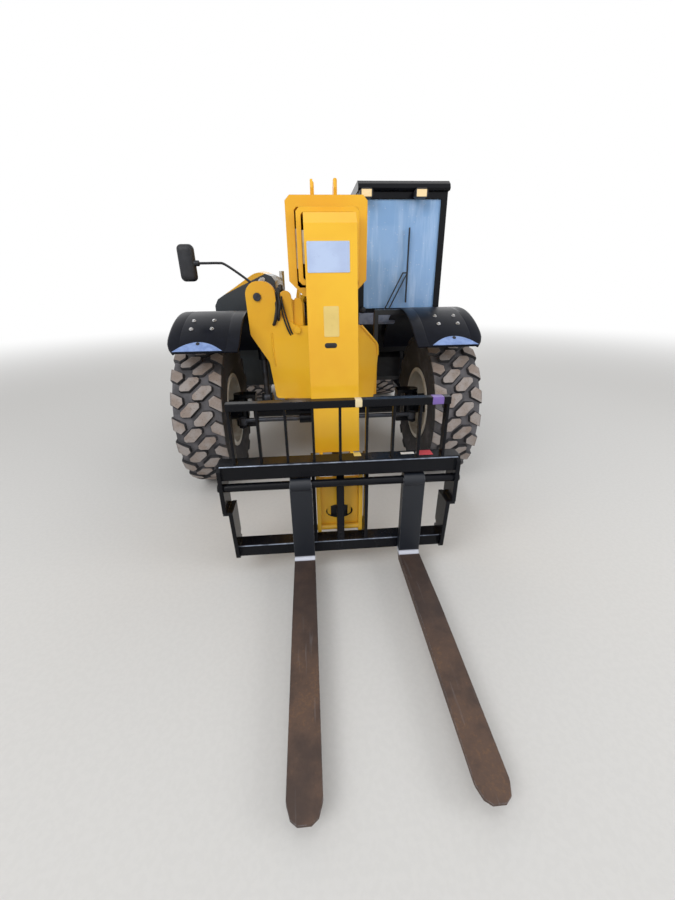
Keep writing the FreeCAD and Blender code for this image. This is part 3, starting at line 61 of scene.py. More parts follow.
def seen(red, green, blue):
    # a colour as the eye reads it, 0 to 255, turned into the values a socket takes
    knee, slope, lift, power = screenCurve.values()
    parts = [c / 255 for c in (red, green, blue)]
    return tuple(c / slope if c < knee else ((c + lift) / (1 + lift)) ** power for c in parts) + (1.0,)


class Level:
    # a node's output, a value or a vector, that can stand in a Python sum
    def __init__(self, recipe, socket):
        self.recipe = recipe
        self.socket = socket

    def work(self, operation, first, second=0.0):
        return self.recipe.node("Math", {"operation": operation}, {0: first, 1: second})

    def __add__(self, other):
        return self.work("ADD", self, other)

    def __sub__(self, other):
        return self.work("SUBTRACT", self, other)

    def __rsub__(self, other):
        return self.work("SUBTRACT", other, self)

    def __mul__(self, other):
        return self.work("MULTIPLY", self, other)

    def __truediv__(self, other):
        return self.work("DIVIDE", self, other)

    def __pow__(self, other):
        return self.work("POWER", self, other)

    __radd__ = __add__
    __rmul__ = __mul__

    def highest(self, other):
        return self.work("MAXIMUM", self, other)

    def sine(self):
        return self.work("SINE", self)

    def size(self):
        return self.work("ABSOLUTE", self)

    def between(self, low, high):
        # 0 at low, 1 at high, eased at both ends
        return self.recipe.node("MapRange", {"interpolation_type": "SMOOTHSTEP"},
                                {"Value": self, "From Min": low, "From Max": high})

    def part(self, axis):
        return self.recipe.node("SeparateXYZ", None, {0: self}, output=axis)

    def stretched(self, amounts):
        return self.recipe.node("VectorMath", {"operation": "MULTIPLY"}, {0: self, 1: amounts})

    def dot(self, other):
        values = {0: self, 1: other}
        return self.recipe.node("VectorMath", {"operation": "DOT_PRODUCT"}, values, output="Value")

    def noise(self, scale, detail=3.0, rough=0.55):
        values = {"Vector": self, "Scale": scale, "Detail": detail, "Roughness": rough}
        return self.recipe.node("TexNoise", None, values)

    def cells(self, scale):
        return self.recipe.node("TexVoronoi", None, {"Vector": self, "Scale": scale}, output="Distance")


class Recipe:
    # one material or world, built node by node
    def __init__(self, owner):
        self.owner = owner
        owner.use_nodes = True
        self.tree = owner.node_tree
        self.tree.nodes.clear()

    def node(self, kind, settings=None, values=None, output=0):
        made = self.tree.nodes.new("ShaderNode" + kind)
        for key, value in (settings or {}).items():
            setattr(made, key, value)
        for key, value in (values or {}).items():
            if isinstance(value, Level):
                self.tree.links.new(value.socket, made.inputs[key])
            else:
                made.inputs[key].default_value = value
        return Level(self, made.outputs[output]) if made.outputs else None

    def place(self):
        return self.node("TexCoord", output="Object")

    def facing(self):
        return self.node("NewGeometry", output="Normal")

    def mix(self, first, second, share):
        return self.node("Mix", {"data_type": "RGBA"}, {0: share, 6: first, 7: second}, output=2)

    def bump(self, height, strength, distance, normal=None):
        values = {"Strength": strength, "Distance": distance, "Height": height}
        if normal:
            values["Normal"] = normal
        return self.node("Bump", None, values)

    def rounded(self, radius):
        # the normal of an edge that is softened by that radius
        return self.node("Bevel", {"samples": 4}, {"Radius": radius})

    def finish(self, values):
        shader = self.node("BsdfPrincipled", None, values)
        self.node("OutputMaterial", None, {"Surface": shader})
        return self.owner


def newRecipe(name):
    recipe = Recipe(bpy.data.materials.new(name))
    return recipe, recipe.place()


# paint, with softened edges, worn corners and dust that lies low and on top

paintLooks = {
    "yellowPaint": dict(colour=seen(243, 189, 36), deep=seen(236, 175, 26), worn=seen(140, 108, 62),
        dust=seen(170, 146, 108), rough=0.3, coat=0.3, gloss=0.4, dusty=0.16, chips=0.4, edge=0.006),
    "blackPaint": dict(colour=seen(14, 16, 22), deep=seen(9, 10, 15), worn=seen(48, 52, 60),
        dust=seen(60, 58, 58), rough=0.17, coat=0.05, gloss=0.15, dusty=0.07, chips=0.3, edge=0.011),
    "greyPaint": dict(colour=seen(52, 58, 62), deep=seen(42, 47, 51), worn=seen(84, 82, 78),
        dust=seen(104, 98, 88), rough=0.42, coat=0.1, gloss=0.35, dusty=0.2, chips=0.3, edge=0.006),
    "rimPaint": dict(colour=seen(208, 206, 198), deep=seen(190, 186, 176), worn=seen(112, 92, 72),
        dust=seen(140, 120, 96), rough=0.4, coat=0.2, gloss=0.4, dusty=0.5, chips=0.5, edge=0.004),
}
paintLooks["framePaint"] = dict(paintLooks["yellowPaint"], dark=seen(14, 16, 21), across=0.4245,
    step=0.0085, behind=-0.558, above=0.982)
paintLooks["hoodPaint"] = dict(paintLooks["yellowPaint"], dark=seen(48, 54, 60), lineX=-1.074, lineZ=1.571,
    slope=0.44, soft=0.003)
paintGrain = dict(clouds=(1.7, 4.0), specks=(38.0, 5.0, 0.7), flakes=(9.0, 2.0), ripple=(260.0, 2.0),
    streaks=(1.0, 4.0), streakWay=(14.0, 14.0, 1.4), edgeBand=(0.05, 0.22), chipBand=(0.52, 0.6),
    upBand=(0.35, 0.95), lowBand=(0.15, 1.25), dustBand=(0.42, 0.68), toneBand=(0.34, 0.62))


def paint(name):
    look = paintLooks[name]
    grain = paintGrain
    recipe, place = newRecipe(name)
    normal = recipe.facing()
    soft = recipe.rounded(look["edge"])
    high = place.part(2)
    clouds = place.noise(*grain["clouds"])
    specks = place.noise(*grain["specks"])
    edge = (1 - soft.dot(normal)).between(*grain["edgeBand"])
    flakes = specks * 0.6 + place.noise(*grain["flakes"]) * 0.4
    chips = edge * flakes.between(*grain["chipBand"]) * look["chips"]
    low = 1 - high.between(*grain["lowBand"])
    lying = normal.part(2).between(*grain["upBand"]) * 0.45 + low * 0.75
    streaks = place.stretched(grain["streakWay"]).noise(*grain["streaks"])
    dust = (streaks * 0.55 + clouds * 0.45).between(*grain["dustBand"]) * lying * look["dusty"]
    colour = recipe.mix(look["deep"], look["colour"], clouds.between(*grain["toneBand"]))
    if "slope" in look:
        # dark band under the hood's yellow crown
        height = high - place.part(0) * look["slope"]
        crown = look["lineZ"] - look["lineX"] * look["slope"]
        colour = recipe.mix(look["dark"], colour, height.between(crown - look["soft"], crown + look["soft"]))
    if "across" in look:
        # arms and brackets outside the rails and behind the front plate are black
        wide = place.part(0).size()
        across, behind, above = look["across"], look["behind"], look["above"]
        upright = wide.between(across, across + 0.001) * high.between(above, above + 0.004)
        outside = upright.highest(wide.between(across + look["step"] - 0.0005, across + look["step"] + 0.0005))
        outside = outside * place.part(1).between(behind, behind + 0.002)
        colour = recipe.mix(colour, look["dark"], outside)
    colour = recipe.mix(colour, look["worn"], chips)
    return recipe.finish({
        "Base Color": recipe.mix(colour, look["dust"], dust),
        "Roughness": look["rough"] + specks * 0.12 + dust * 0.9 + chips * 0.4,
        "Coat Weight": look["coat"] * (1 - (dust * 1.6 + chips)),
        "Coat Roughness": 0.06,
        "Specular IOR Level": look["gloss"],
        "Normal": recipe.bump(place.noise(*grain["ripple"]), 0.08, 0.0006, soft),
    })


# moulded plastic, castings and bare steel

plainLooks = {
    "blackPlastic": dict(colour=seen(26, 28, 34), other=seen(33, 35, 41), dust=seen(84, 80, 76), rough=0.42,
        grain=420.0, depth=0.12, dusty=0.18, edge=0.004),
    "guardPlastic": dict(colour=seen(12, 15, 25), other=seen(16, 19, 30), dust=seen(38, 42, 52), rough=0.26,
        grain=300.0, depth=0.05, dusty=0.06, edge=0.005, gloss=0.1),
    # painted highlight: pale blue standing for light caught along the mudguard's front lip
    "guardRim": dict(colour=seen(136, 162, 214), other=seen(116, 142, 196), dust=seen(96, 102, 118),
        rough=0.34, grain=200.0, depth=0.06, dusty=0.16, edge=0.003),
    "cowlPlastic": dict(colour=seen(124, 134, 156), other=seen(104, 114, 138), dust=seen(104, 102, 102),
        rough=0.4, grain=300.0, depth=0.1, dusty=0.18, edge=0.004),
    # painted highlight: pale blue metal for the beads along the fork frame's beam edges
    "polishedEdge": dict(colour=seen(150, 160, 178), other=seen(96, 104, 120), dust=seen(40, 42, 48),
        rough=0.26, metal=0.7, grain=120.0, depth=0.05, dusty=0.5, edge=0.001),
    "hosePlastic": dict(colour=seen(22, 22, 25), other=seen(30, 30, 33), dust=seen(76, 70, 64), rough=0.5,
        grain=500.0, depth=0.2, dusty=0.2, edge=0.001),
    "greyPlastic": dict(colour=seen(74, 76, 80), other=seen(62, 64, 68), dust=seen(122, 114, 104),
        rough=0.55, grain=360.0, depth=0.2, dusty=0.2, edge=0.005),
    "padPlastic": dict(colour=seen(206, 200, 184), other=seen(184, 176, 156), dust=seen(96, 84, 66),
        rough=0.5, grain=160.0, depth=0.1, dusty=0.5, edge=0.002),
    "greyCasting": dict(colour=seen(78, 78, 80), other=seen(60, 58, 58), dust=seen(112, 98, 80), rough=0.66,
        metal=0.25, grain=120.0, depth=0.5, dusty=0.6, edge=0.008),
    "exhaustSteel": dict(colour=seen(198, 198, 196), other=seen(172, 166, 156), dust=seen(118, 104, 88),
        rough=0.3, metal=0.9, grain=90.0, depth=0.1, dusty=0.2, edge=0.003),
    "wornSteel": dict(colour=seen(62, 66, 74), other=seen(48, 48, 52), dust=seen(76, 62, 52), rough=0.34,
        metal=0.5, grain=140.0, depth=0.16, dusty=0.2, edge=0.003),
    "brightBolt": dict(colour=seen(206, 206, 208), other=seen(160, 158, 152), dust=seen(100, 88, 74),
        rough=0.24, metal=0.95, grain=200.0, depth=0.06, dusty=0.25, edge=0.0015),
}
plainGrain = dict(clouds=(5.0, 5.0, 0.6), tones=(23.0, 4.0), upBand=(0.2, 0.95), dustBand=(0.44, 0.66),
    toneBand=(0.4, 0.66))


def plain(name):
    look = plainLooks[name]
    grain = plainGrain
    recipe, place = newRecipe(name)
    soft = recipe.rounded(look["edge"])
    clouds = place.noise(*grain["clouds"])
    up = recipe.facing().part(2).between(*grain["upBand"])
    dust = clouds.between(*grain["dustBand"]) * (up * 0.6 + 0.4) * look["dusty"]
    tones = place.noise(*grain["tones"]).between(*grain["toneBand"])
    return recipe.finish({
        "Base Color": recipe.mix(recipe.mix(look["colour"], look["other"], tones), look["dust"], dust),
        "Metallic": look.get("metal", 0.0) * (1 - dust),
        "Roughness": look["rough"] + clouds * 0.1 + dust * 0.5,
        "Specular IOR Level": look.get("gloss", 0.4),
        "Normal": recipe.bump(place.noise(look["grain"], 2.0), look["depth"], 0.001, soft),
    })


rodLook = dict(bright=seen(168, 172, 180), oily=seen(112, 106, 98), film=(16.0, 4.0), filmBand=(0.45, 0.7),
    grain=(90.0, 2.0), edge=0.002)


def chromeRod():
    # polished rod with faint rings of oil and dust
    recipe, place = newRecipe("chromeRod")
    film = place.noise(*rodLook["film"]).between(*rodLook["filmBand"])
    return recipe.finish({
        "Base Color": recipe.mix(rodLook["bright"], rodLook["oily"], film * 0.6),
        "Metallic": 1.0,
        "Roughness": 0.14 + film * 0.24,
        "Normal": recipe.bump(place.noise(*rodLook["grain"]), 0.03, 0.0005, recipe.rounded(rodLook["edge"])),
    })


forkLook = dict(rust=seen(90, 70, 59), deepRust=seen(68, 54, 48), warmRust=seen(112, 84, 62),
    steel=seen(20, 25, 34), scuff=seen(160, 162, 168), heel=seen(206, 210, 222), turnBand=(0.132, 0.182),
    heelLow=(0.122, 0.128), heelHigh=(0.152, 0.158), heelFront=(-2.048, -2.044), patches=(5.0, 6.0, 0.65),
    pits=(70.0, 4.0, 0.7), drag=(1.0, 3.0), dragWay=(60.0, 2.5, 60.0), rustBand=(0.36, 0.6),
    warmBand=(0.52, 0.66), dragBand=(0.62, 0.8), edgeBand=(0.05, 0.25), wearBand=(0.4, 0.55), edge=0.006)


def forkSteel():
    # dark painted shank, rusty blade worn brighter along its edges, and a pale band at the heel that is a painted
    # highlight
    look = forkLook
    recipe, place = newRecipe("forkSteel")
    soft = recipe.rounded(look["edge"])
    high = place.part(2)
    patches = place.noise(*look["patches"])
    pits = place.noise(*look["pits"])
    drag = place.stretched(look["dragWay"]).noise(*look["drag"])
    blade = 1 - (high + patches * 0.03).between(*look["turnBand"])
    rust = recipe.mix(look["deepRust"], look["rust"], patches.between(*look["rustBand"]))
    rust = recipe.mix(rust, look["warmRust"], (pits * 0.5 + patches * 0.5).between(*look["warmBand"]) * 0.7)
    rust = recipe.mix(rust, look["scuff"], drag.between(*look["dragBand"]) * 0.22)
    # painted highlight: a pale band across the front of the heel's bend, where the light catches it
    bend = high.between(*look["heelLow"]) - high.between(*look["heelHigh"])
    bend = bend * place.part(1).between(*look["heelFront"])
    colour = recipe.mix(recipe.mix(look["steel"], rust, blade), look["heel"], bend * 0.85)
    edge = (1 - soft.dot(recipe.facing())).between(*look["edgeBand"]) * pits.between(*look["wearBand"])
    return recipe.finish({
        "Base Color": recipe.mix(colour, look["scuff"], edge * 0.55),
        "Metallic": 0.3 * blade + edge * 0.4,
        "Roughness": 0.34 + blade * 0.2 + pits * 0.16,
        "Normal": recipe.bump(pits * 0.7 + patches * 0.3, 0.25, 0.0015, soft),
    })


tyreLook = dict(top=seen(158, 151, 148), topWarm=seen(144, 131, 123), side=seen(46, 46, 49),
    ground=seen(104, 102, 106), across=(0.0, 1.0, 1.0), patches=(7.0, 5.0, 0.6), grit=(90.0, 4.0, 0.7),
    facingBand=(0.72, 0.97), topBand=(0.618, 0.628), grooveBand=(0.616, 0.622), warmBand=(0.38, 0.62),
    gritBand=(0.56, 0.7), wallBand=(0.5, 0.68), groundBand=(0.36, 0.6), ribs=260.0, ribBand=(0.2, 0.9),
    sideBand=(0.2, 0.6), edge=0.005)


def tyreRubber():
    # pale dust on the block tops and on the groove floor, dark flanks and walls
    look = tyreLook
    recipe, place = newRecipe("tyreRubber")
    flat = place.stretched(look["across"])
    radius = flat.dot(flat) ** 0.5
    patches = place.noise(*look["patches"])
    grit = place.noise(*look["grit"])
    outward = recipe.facing().dot(flat) / radius
    facing = outward.between(*look["facingBand"])
    onTop = radius.between(*look["topBand"]) * facing
    onGround = (1 - radius.between(*look["grooveBand"])) * facing
    dusty = recipe.mix(look["top"], look["topWarm"], patches.between(*look["warmBand"]))
    dusty = recipe.mix(dusty, look["side"], grit.between(*look["gritBand"]) * 0.5)
    soil = (patches * 0.6 + grit * 0.4).between(*look["wallBand"])
    wall = recipe.mix(look["side"], look["ground"], soil * 0.6)
    groove = onGround * (patches.between(*look["groundBand"]) * 0.6 + 0.35)
    ribs = (radius * look["ribs"]).sine().between(*look["ribBand"])
    wallOnly = 1 - outward.between(*look["sideBand"])
    height = grit * 0.6 + ribs * wallOnly * 0.5
    return recipe.finish({
        "Base Color": recipe.mix(recipe.mix(wall, look["ground"], groove), dusty, onTop),
        "Roughness": 0.62 + onTop * 0.22 + grit * 0.1,
        "Specular IOR Level": 0.35,
        "Normal": recipe.bump(height, 0.35, 0.0016, recipe.rounded(look["edge"])),
    })


clothLook = dict(valley=seen(44, 46, 52), thread=seen(66, 68, 74), fluff=seen(92, 86, 78), threads=1600.0,
    clumps=(24.0, 5.0, 0.6), threadBand=(-0.4, 0.8), clumpBand=(0.5, 0.74))


def seatCloth():
    # woven cover, darker in its valleys
    look = clothLook
    recipe, place = newRecipe("seatCloth")
    weft = (place.part(0) * look["threads"]).sine()
    weave = weft * ((place.part(1) + place.part(2)) * look["threads"]).sine()
    clumps = place.noise(*look["clumps"])
    colour = recipe.mix(look["valley"], look["thread"], weave.between(*look["threadBand"]))
    return recipe.finish({
        "Base Color": recipe.mix(colour, look["fluff"], clumps.between(*look["clumpBand"]) * 0.5),
        "Roughness": 0.9,
        "Sheen Weight": 0.25,
        "Normal": recipe.bump(weave * 0.6 + clumps, 0.3, 0.0008),
    })


glassLook = dict(tint=seen(146, 190, 240), pale=seen(176, 208, 246), drop=seen(232, 240, 250), cells=26.0,
    dropBand=(0.06, 0.13), runWay=(16.0, 16.0, 1.6), runs=(1.0, 4.0), runBand=(0.45, 0.7),
    frontBand=(0.045, 0.06))


def windowGlass():
    # pale blue tinted panes with rain marks; the front panes are made the least clear
    look = glassLook
    recipe, place = newRecipe("windowGlass")
    drops = 1 - place.cells(look["cells"]).between(*look["dropBand"])
    film = place.stretched(look["runWay"]).noise(*look["runs"]).between(*look["runBand"])
    front = 1 - place.part(1).between(*look["frontBand"])
    colour = recipe.mix(look["tint"], look["pale"], film * 0.8)
    return recipe.finish({
        "Base Color": recipe.mix(colour, look["drop"], drops * 0.6),
        "Roughness": 0.04 + film * 0.1,
        "Alpha": 0.34 + front * 0.38 + film * 0.1 + drops * 0.1,
        "Specular IOR Level": 0.4,
        "Normal": recipe.bump(drops, 0.15, 0.001),
    })


lampLook = dict(glass=seen(150, 138, 112), glow=seen(255, 208, 128), bright=seen(255, 232, 178), ribs=700.0,
    ribBand=(-0.6, 0.8), strength=0.62)


def lampLens():
    # ribbed lens of a lamp that is on
    look = lampLook
    recipe, place = newRecipe("lampLens")
    ribs = (place.part(0) * look["ribs"]).sine()
    return recipe.finish({
        "Base Color": look["glass"],
        "Roughness": 0.12,
        "Emission Color": recipe.mix(look["glow"], look["bright"], ribs.between(*look["ribBand"])),
        "Emission Strength": look["strength"],
        "Normal": recipe.bump(ribs, 0.4, 0.002),
    })


tailLook = dict(red=seen(176, 22, 20), amber=seen(214, 110, 18), deep=seen(90, 12, 10), ribs=520.0,
    amberBand=(0.925, 0.93), squareBand=(0.2, 0.9), edge=0.004)


def redLens():
    # tail lamp: red field with moulded squares and an amber end
    look = tailLook
    recipe, place = newRecipe("redLens")
    squares = (place.part(0) * look["ribs"]).sine() * (place.part(2) * look["ribs"]).sine()
    colour = recipe.mix(look["red"], look["amber"], place.part(0).size().between(*look["amberBand"]))
    return recipe.finish({
        "Base Color": recipe.mix(colour, look["deep"], squares.between(*look["squareBand"]) * 0.5),
        "Roughness": 0.14,
        "Coat Weight": 0.5,
        "Normal": recipe.bump(squares, 0.4, 0.0015, recipe.rounded(look["edge"])),
    })


labelLooks = {
    "signPlate": (seen(186, 204, 236), seen(150, 166, 206)),
    "paleYellow": (seen(232, 204, 120), seen(206, 176, 92)),
    "whiteLabel": (seen(228, 226, 222), seen(190, 186, 180)),
    "redLabel": (seen(206, 62, 74), seen(170, 44, 54)),
    "purpleTape": (seen(126, 98, 176), seen(98, 76, 146)),
    "creamTape": (seen(232, 214, 170), seen(196, 176, 132)),
}
labelGrain = dict(scuffs=(46.0, 5.0, 0.7), clouds=(7.0, 3.0), scuffBand=(0.56, 0.74), cloudBand=(0.4, 0.7),
                  edge=0.001)


def label(name):
    # blank printed plate or tape, a little scuffed
    colour, worn = labelLooks[name]
    grain = labelGrain
    recipe, place = newRecipe(name)
    scuff = place.noise(*grain["scuffs"]).between(*grain["scuffBand"])
    clouds = place.noise(*grain["clouds"])
    colour = recipe.mix(colour, worn, clouds.between(*grain["cloudBand"]) * 0.35)
    return recipe.finish({
        "Base Color": recipe.mix(colour, worn, scuff * 0.35),
        "Roughness": 0.34 + scuff * 0.3,
        "Coat Weight": 0.3 * (1 - scuff),
        "Normal": recipe.bump(clouds, 0.05, 0.0006, recipe.rounded(grain["edge"])),
    })


materials = {name: paint(name) for name in paintLooks}
materials.update({name: plain(name) for name in plainLooks})
materials.update({name: label(name) for name in labelLooks})
materials.update(chromeRod=chromeRod(), forkSteel=forkSteel(), tyreRubber=tyreRubber(), seatCloth=seatCloth(),
                 windowGlass=windowGlass(), lampLens=lampLens(), redLens=redLens())

flats = dict(weld=0.00002, limit=29)


def roundFlats():
    # shallow facets shade as one curve, and corners over the limit stay crisp
    group = bpy.data.node_groups.new("roundFlats", "GeometryNodeTree")
    group.interface.new_socket("Geometry", in_out="INPUT", socket_type="NodeSocketGeometry")
    group.interface.new_socket("Geometry", in_out="OUTPUT", socket_type="NodeSocketGeometry")
    made = {name: group.nodes.new(kind) for name, kind in {
        "start": "NodeGroupInput", "bare": "GeometryNodeRemoveAttribute", "weld": "GeometryNodeMergeByDistance",
        "faces": "GeometryNodeSetShadeSmooth", "edges": "GeometryNodeSetShadeSmooth",
        "angle": "GeometryNodeInputMeshEdgeAngle", "sharp": "FunctionNodeCompare", "end": "NodeGroupOutput"}.items()}
    made["bare"].inputs["Name"].default_value = "custom_normal"
    made["weld"].inputs["Distance"].default_value = flats["weld"]
    made["edges"].domain = "EDGE"
    made["edges"].inputs["Shade Smooth"].default_value = False
    made["sharp"].operation = "GREATER_THAN"
    made["sharp"].inputs[1].default_value = math.radians(flats["limit"])
    chain = ("start", "bare", "weld", "faces", "edges", "end")
    for first, second in zip(chain, chain[1:]):
        group.links.new(made[first].outputs[0], made[second].inputs[0])
    group.links.new(made["angle"].outputs["Unsigned Angle"], made["sharp"].inputs[0])
    group.links.new(made["sharp"].outputs[0], made["edges"].inputs["Selection"])
    return group


def lookOf(slot):
    # the material that a slot such as yellow_paint is named after
    first, *rest = slot.split("_")
    return first + "".join(word.title() for word in rest)


nodeMaterial = {
    "chassis_frame": "framePaint",
    "engine_cover": "hoodPaint",
    "levelling_barrel": "blackPaint",
    "front_steering_rod": "wornSteel",
    "rear_steering_rod": "wornSteel",
    "tilt_rod": "wornSteel",
    "levelling_rod": "wornSteel",
    "fork_shaft": "blackPaint",
}
smoothing = roundFlats()
for nodeName, nodeObject in cad.items():
    nodeObject.data.materials.clear()
    nodeObject.data.materials.append(materials[nodeMaterial.get(nodeName, lookOf(slotOf[nodeName]))])
    nodeObject.modifiers.new("roundFlats", "NODES").node_group = smoothing
print("materials on the frame")


# helpers for the pieces

tiny = dict(radius=1e-4, weld=1e-6)


def closedMesh(name, shape, look, crease):
    mesh = bpy.data.meshes.new(name)
    bmesh.ops.recalc_face_normals(shape, faces=shape.faces)
    shape.to_mesh(mesh)
    shape.free()
    mesh.shade_smooth()
    mesh.set_sharp_from_angle(angle=math.radians(crease))
    mesh.materials.append(materials[look])
    return mesh


def placePiece(name, mesh, body, replaced=(), where=None):
    piece = bpy.data.objects.new(name, mesh)
    scene.collection.objects.link(piece)
    if where:
        piece.matrix_world = where
    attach(piece, body)
    if replaced:
        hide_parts(*replaced)
    return piece


def addPiece(name, shape, look, body, replaced=(), crease=32):
    return placePiece(name, closedMesh(name, shape, look, crease), body, replaced)


def ringStrip(shape, rings, capped=True):
    # skins a row of point rings, each with the same count
    made = [[shape.verts.new(p) for p in ring] for ring in rings]
    count = len(rings[0])
    for here, there in zip(made, made[1:]):
        for i in range(count):
            j = (i + 1) % count
            shape.faces.new((here[i], here[j], there[j], there[i]))
    if capped:
        shape.faces.new(made[0][::-1])
        shape.faces.new(made[-1])
    return made


def roundedOutline(width, height, radius, steps=5):
    points = []
    for cornerX, cornerY, start in ((1, 1, 0), (-1, 1, 90), (-1, -1, 180), (1, -1, 270)):
        for i in range(steps + 1):
            angle = math.radians(start + 90 * i / steps)
            points.append((cornerX * (width / 2 - radius) + radius * math.cos(angle),
                           cornerY * (height / 2 - radius) + radius * math.sin(angle)))
    return points


def aroundAxis(x, radius, count, shift=0.0):
    # points evenly round the x axis
    turns = (2 * math.pi * (k + shift) / count for k in range(count))
    return [Vector((x, radius * math.cos(turn), radius * math.sin(turn))) for turn in turns]


plateRim = dict(sunk=0.0005, edge=0.0008, least=0.0003)


def addPlate(shape, centre, right, up, size, thick, radius):
    # a rounded plate with a softened rim, lying on a face that right and up span
    right = Vector(right).normalized()
    up = Vector(up).normalized()
    out = right.cross(up)
    edge = plateRim["edge"]
    rings = []
    for lift, inset in ((-plateRim["sunk"], 0.0), (thick - edge, 0.0), (thick, edge)):
        outline = roundedOutline(size[0] - 2 * inset, size[1] - 2 * inset, max(radius - inset, plateRim["least"]))
        rings.append([Vector(centre) + right * a + up * b + out * lift for a, b in outline])
    ringStrip(shape, rings)


def addTurned(shape, profile, count, axis, base, closedProfile=False):
    # turns (distance along the axis, radius) about an axis through base
    axis = Vector(axis).normalized()
    side = axis.orthogonal().normalized()
    other = axis.cross(side)
    made = []
    for k in range(count):
        turn = 2 * math.pi * k / count
        out = side * math.cos(turn) + other * math.sin(turn)
        made.append([shape.verts.new(Vector(base) + axis * a + out * r) for a, r in profile])
    size = len(profile)
    for k in range(count):
        here, there = made[k], made[(k + 1) % count]
        for i in range(size if closedProfile else size - 1):
            j = (i + 1) % size
            shape.faces.new((here[i], here[j], there[j], there[i]))
    if not closedProfile:
        for end in (0, -1):
            if profile[end][1] > tiny["radius"]:
                shape.faces.new([ring[end] for ring in made])
    bmesh.ops.remove_doubles(shape, verts=[v for ring in made for v in ring], dist=tiny["weld"])


boltShape = dict(washer=((0.1, 0.82), (0.13, 0.78), (0.13, 0.3)), washerTall=0.13, washerSides=20,
    sunk=0.001, head=((0.0, 1.0), (0.82, 1.0), (1.0, 0.84)))


def addBolt(shape, centre, axis, across, high, washer=True):
    # hexagon head with a chamfered top on a washer
    axis = Vector(axis).normalized()
    half = across / math.sqrt(3)
    base = Vector(centre)
    if washer:
        profile = [(a * across, r * across) for a, r in boltShape["washer"]]
        addTurned(shape, [(-boltShape["sunk"], profile[0][1])] + profile, boltShape["washerSides"], axis, base)
        base = base + axis * across * boltShape["washerTall"]
    side = axis.orthogonal().normalized()
    other = axis.cross(side)
    corners = [side * math.cos(k * math.pi / 3) + other * math.sin(k * math.pi / 3) for k in range(6)]
    ringStrip(shape, [[base + axis * high * lift + corner * half * share for corner in corners]
                      for lift, share in boltShape["head"]])


bar = dict(steps=8)


def sweep(shape, path, radius, sides=10):
    # round bar along a smooth line through the points
    line = []
    points = [Vector(p) for p in path]
    for i in range(len(points) - 1):
        before = points[max(i - 1, 0)]
        start, end = points[i], points[i + 1]
        after = points[min(i + 2, len(points) - 1)]
        for s in range(bar["steps"]):
            t = s / bar["steps"]
            line.append(0.5 * (2 * start + (end - before) * t + (2 * before - 5 * start + 4 * end - after) * t * t
                               + (3 * start - before - 3 * end + after) * t ** 3))
    line.append(points[-1])
    side = (line[1] - line[0]).orthogonal().normalized()
    rings = []
    for i, point in enumerate(line):
        way = (line[min(i + 1, len(line) - 1)] - line[max(i - 1, 0)]).normalized()
        side = (side - way * side.dot(way)).normalized()
        other = way.cross(side)
        rings.append([point + (side * math.cos(a) + other * math.sin(a)) * radius
                      for a in (2 * math.pi * k / sides for k in range(sides))])
    ringStrip(shape, rings)


def addFlat(shape, outline, axis, first, last, edge=0.003):
    # plate with softened rims, its outline in the plane across the axis (0 for x, 1 for y)
    middleA = sum(a for a, b in outline) / len(outline)
    middleB = sum(b for a, b in outline) / len(outline)
    rings = []
    for at, inset in ((first, edge), (first + edge, 0.0), (last - edge, 0.0), (last, edge)):
        ring = []
        for a, b in outline:
            share = 1 - inset / max(math.hypot(a - middleA, b - middleB), tiny["weld"])
            a, b = middleA + (a - middleA) * share, middleB + (b - middleB) * share
            ring.append(Vector((at, a, b) if axis == 0 else (a, at, b)))
        rings.append(ring)
    ringStrip(shape, rings)


# tyres: four columns of blocks over a ribbed carcass

tyre = dict(pitches=20, base=0.612, crown=0.6402, camber=0.25, shoulder=0.15, rounding=(8.0, 2.2),
    turns=100, crease=34, spacing=0.026, edge=0.1945, foot=0.007, footEdge=0.183, footDrop=0.03,
    levels=((0.007, None), (0.004, 0.020), (0.0, 0.0045), (-0.0045, 0.0)), inner=((-0.076, -0.047),
    (-0.062, -0.059), (0.002, -0.059), (0.076, 0.017), (0.076, 0.047), (0.062, 0.059), (-0.002, 0.059),
    (-0.076, -0.017)), outer=((0.1945, -0.070), (0.1945, 0.032), (0.135, 0.068), (0.092, 0.030),
    (0.097, -0.018)), middle=0.048, shifts=(0.385, 0.0, -0.356, 0.205), bore=((-0.148, 0.3178),
    (0.148, 0.3178)), wall=((0.148, 0.3185), (0.158, 0.322), (0.163, 0.334), (0.160, 0.345), (0.166, 0.356),
    (0.179, 0.384), (0.1885, 0.420), (0.1935, 0.462), (0.195, 0.500), (0.1945, 0.540), (0.191, 0.572),
    (0.1875, 0.592), (0.181, 0.604), (0.165, 0.6095), (0.120, 0.612), (0.06, 0.6128), (0.0, 0.613)))


def crownRadius(x):
    # the tread's height over the axle: nearly flat, rounding off at the shoulder
    amount, power = tyre["rounding"]
    return tyre["crown"] - tyre["camber"] * x * x - amount * max(0.0, abs(x) - tyre["shoulder"]) ** power


def addBlock(shape, outline, turn):
    # base a little wider than the top, rim of the top softened
    middleX = sum(p[0] for p in outline) / len(outline)
    middleS = sum(p[1] for p in outline) / len(outline)
    fine = []
    for i, (x, s) in enumerate(outline):
        nextX, nextS = outline[(i + 1) % len(outline)]
        pieces = max(1, round(math.hypot(nextX - x, nextS - s) / tyre["spacing"]))
        fine += [(x + (nextX - x) * k / pieces, s + (nextS - s) * k / pieces) for k in range(pieces)]
    rings = []
    for grow, drop in tyre["levels"]:
        ring = []
        for x, s in fine:
            share = 1 + grow / math.hypot(x - middleX, s - middleS)
            x = max(-tyre["edge"], min(tyre["edge"], middleX + (x - middleX) * share))
            if drop is None:
                radius = tyre["base"] - tyre["foot"] - (tyre["footDrop"] if abs(x) > tyre["footEdge"] else 0.0)
            else:
                radius = crownRadius(x) - drop
            angle = turn + (middleS + (s - middleS) * share) / tyre["crown"]
            ring.append(Vector((x, radius * math.sin(angle), radius * math.cos(angle))))
        rings.append(ring)
    ringStrip(shape, rings)


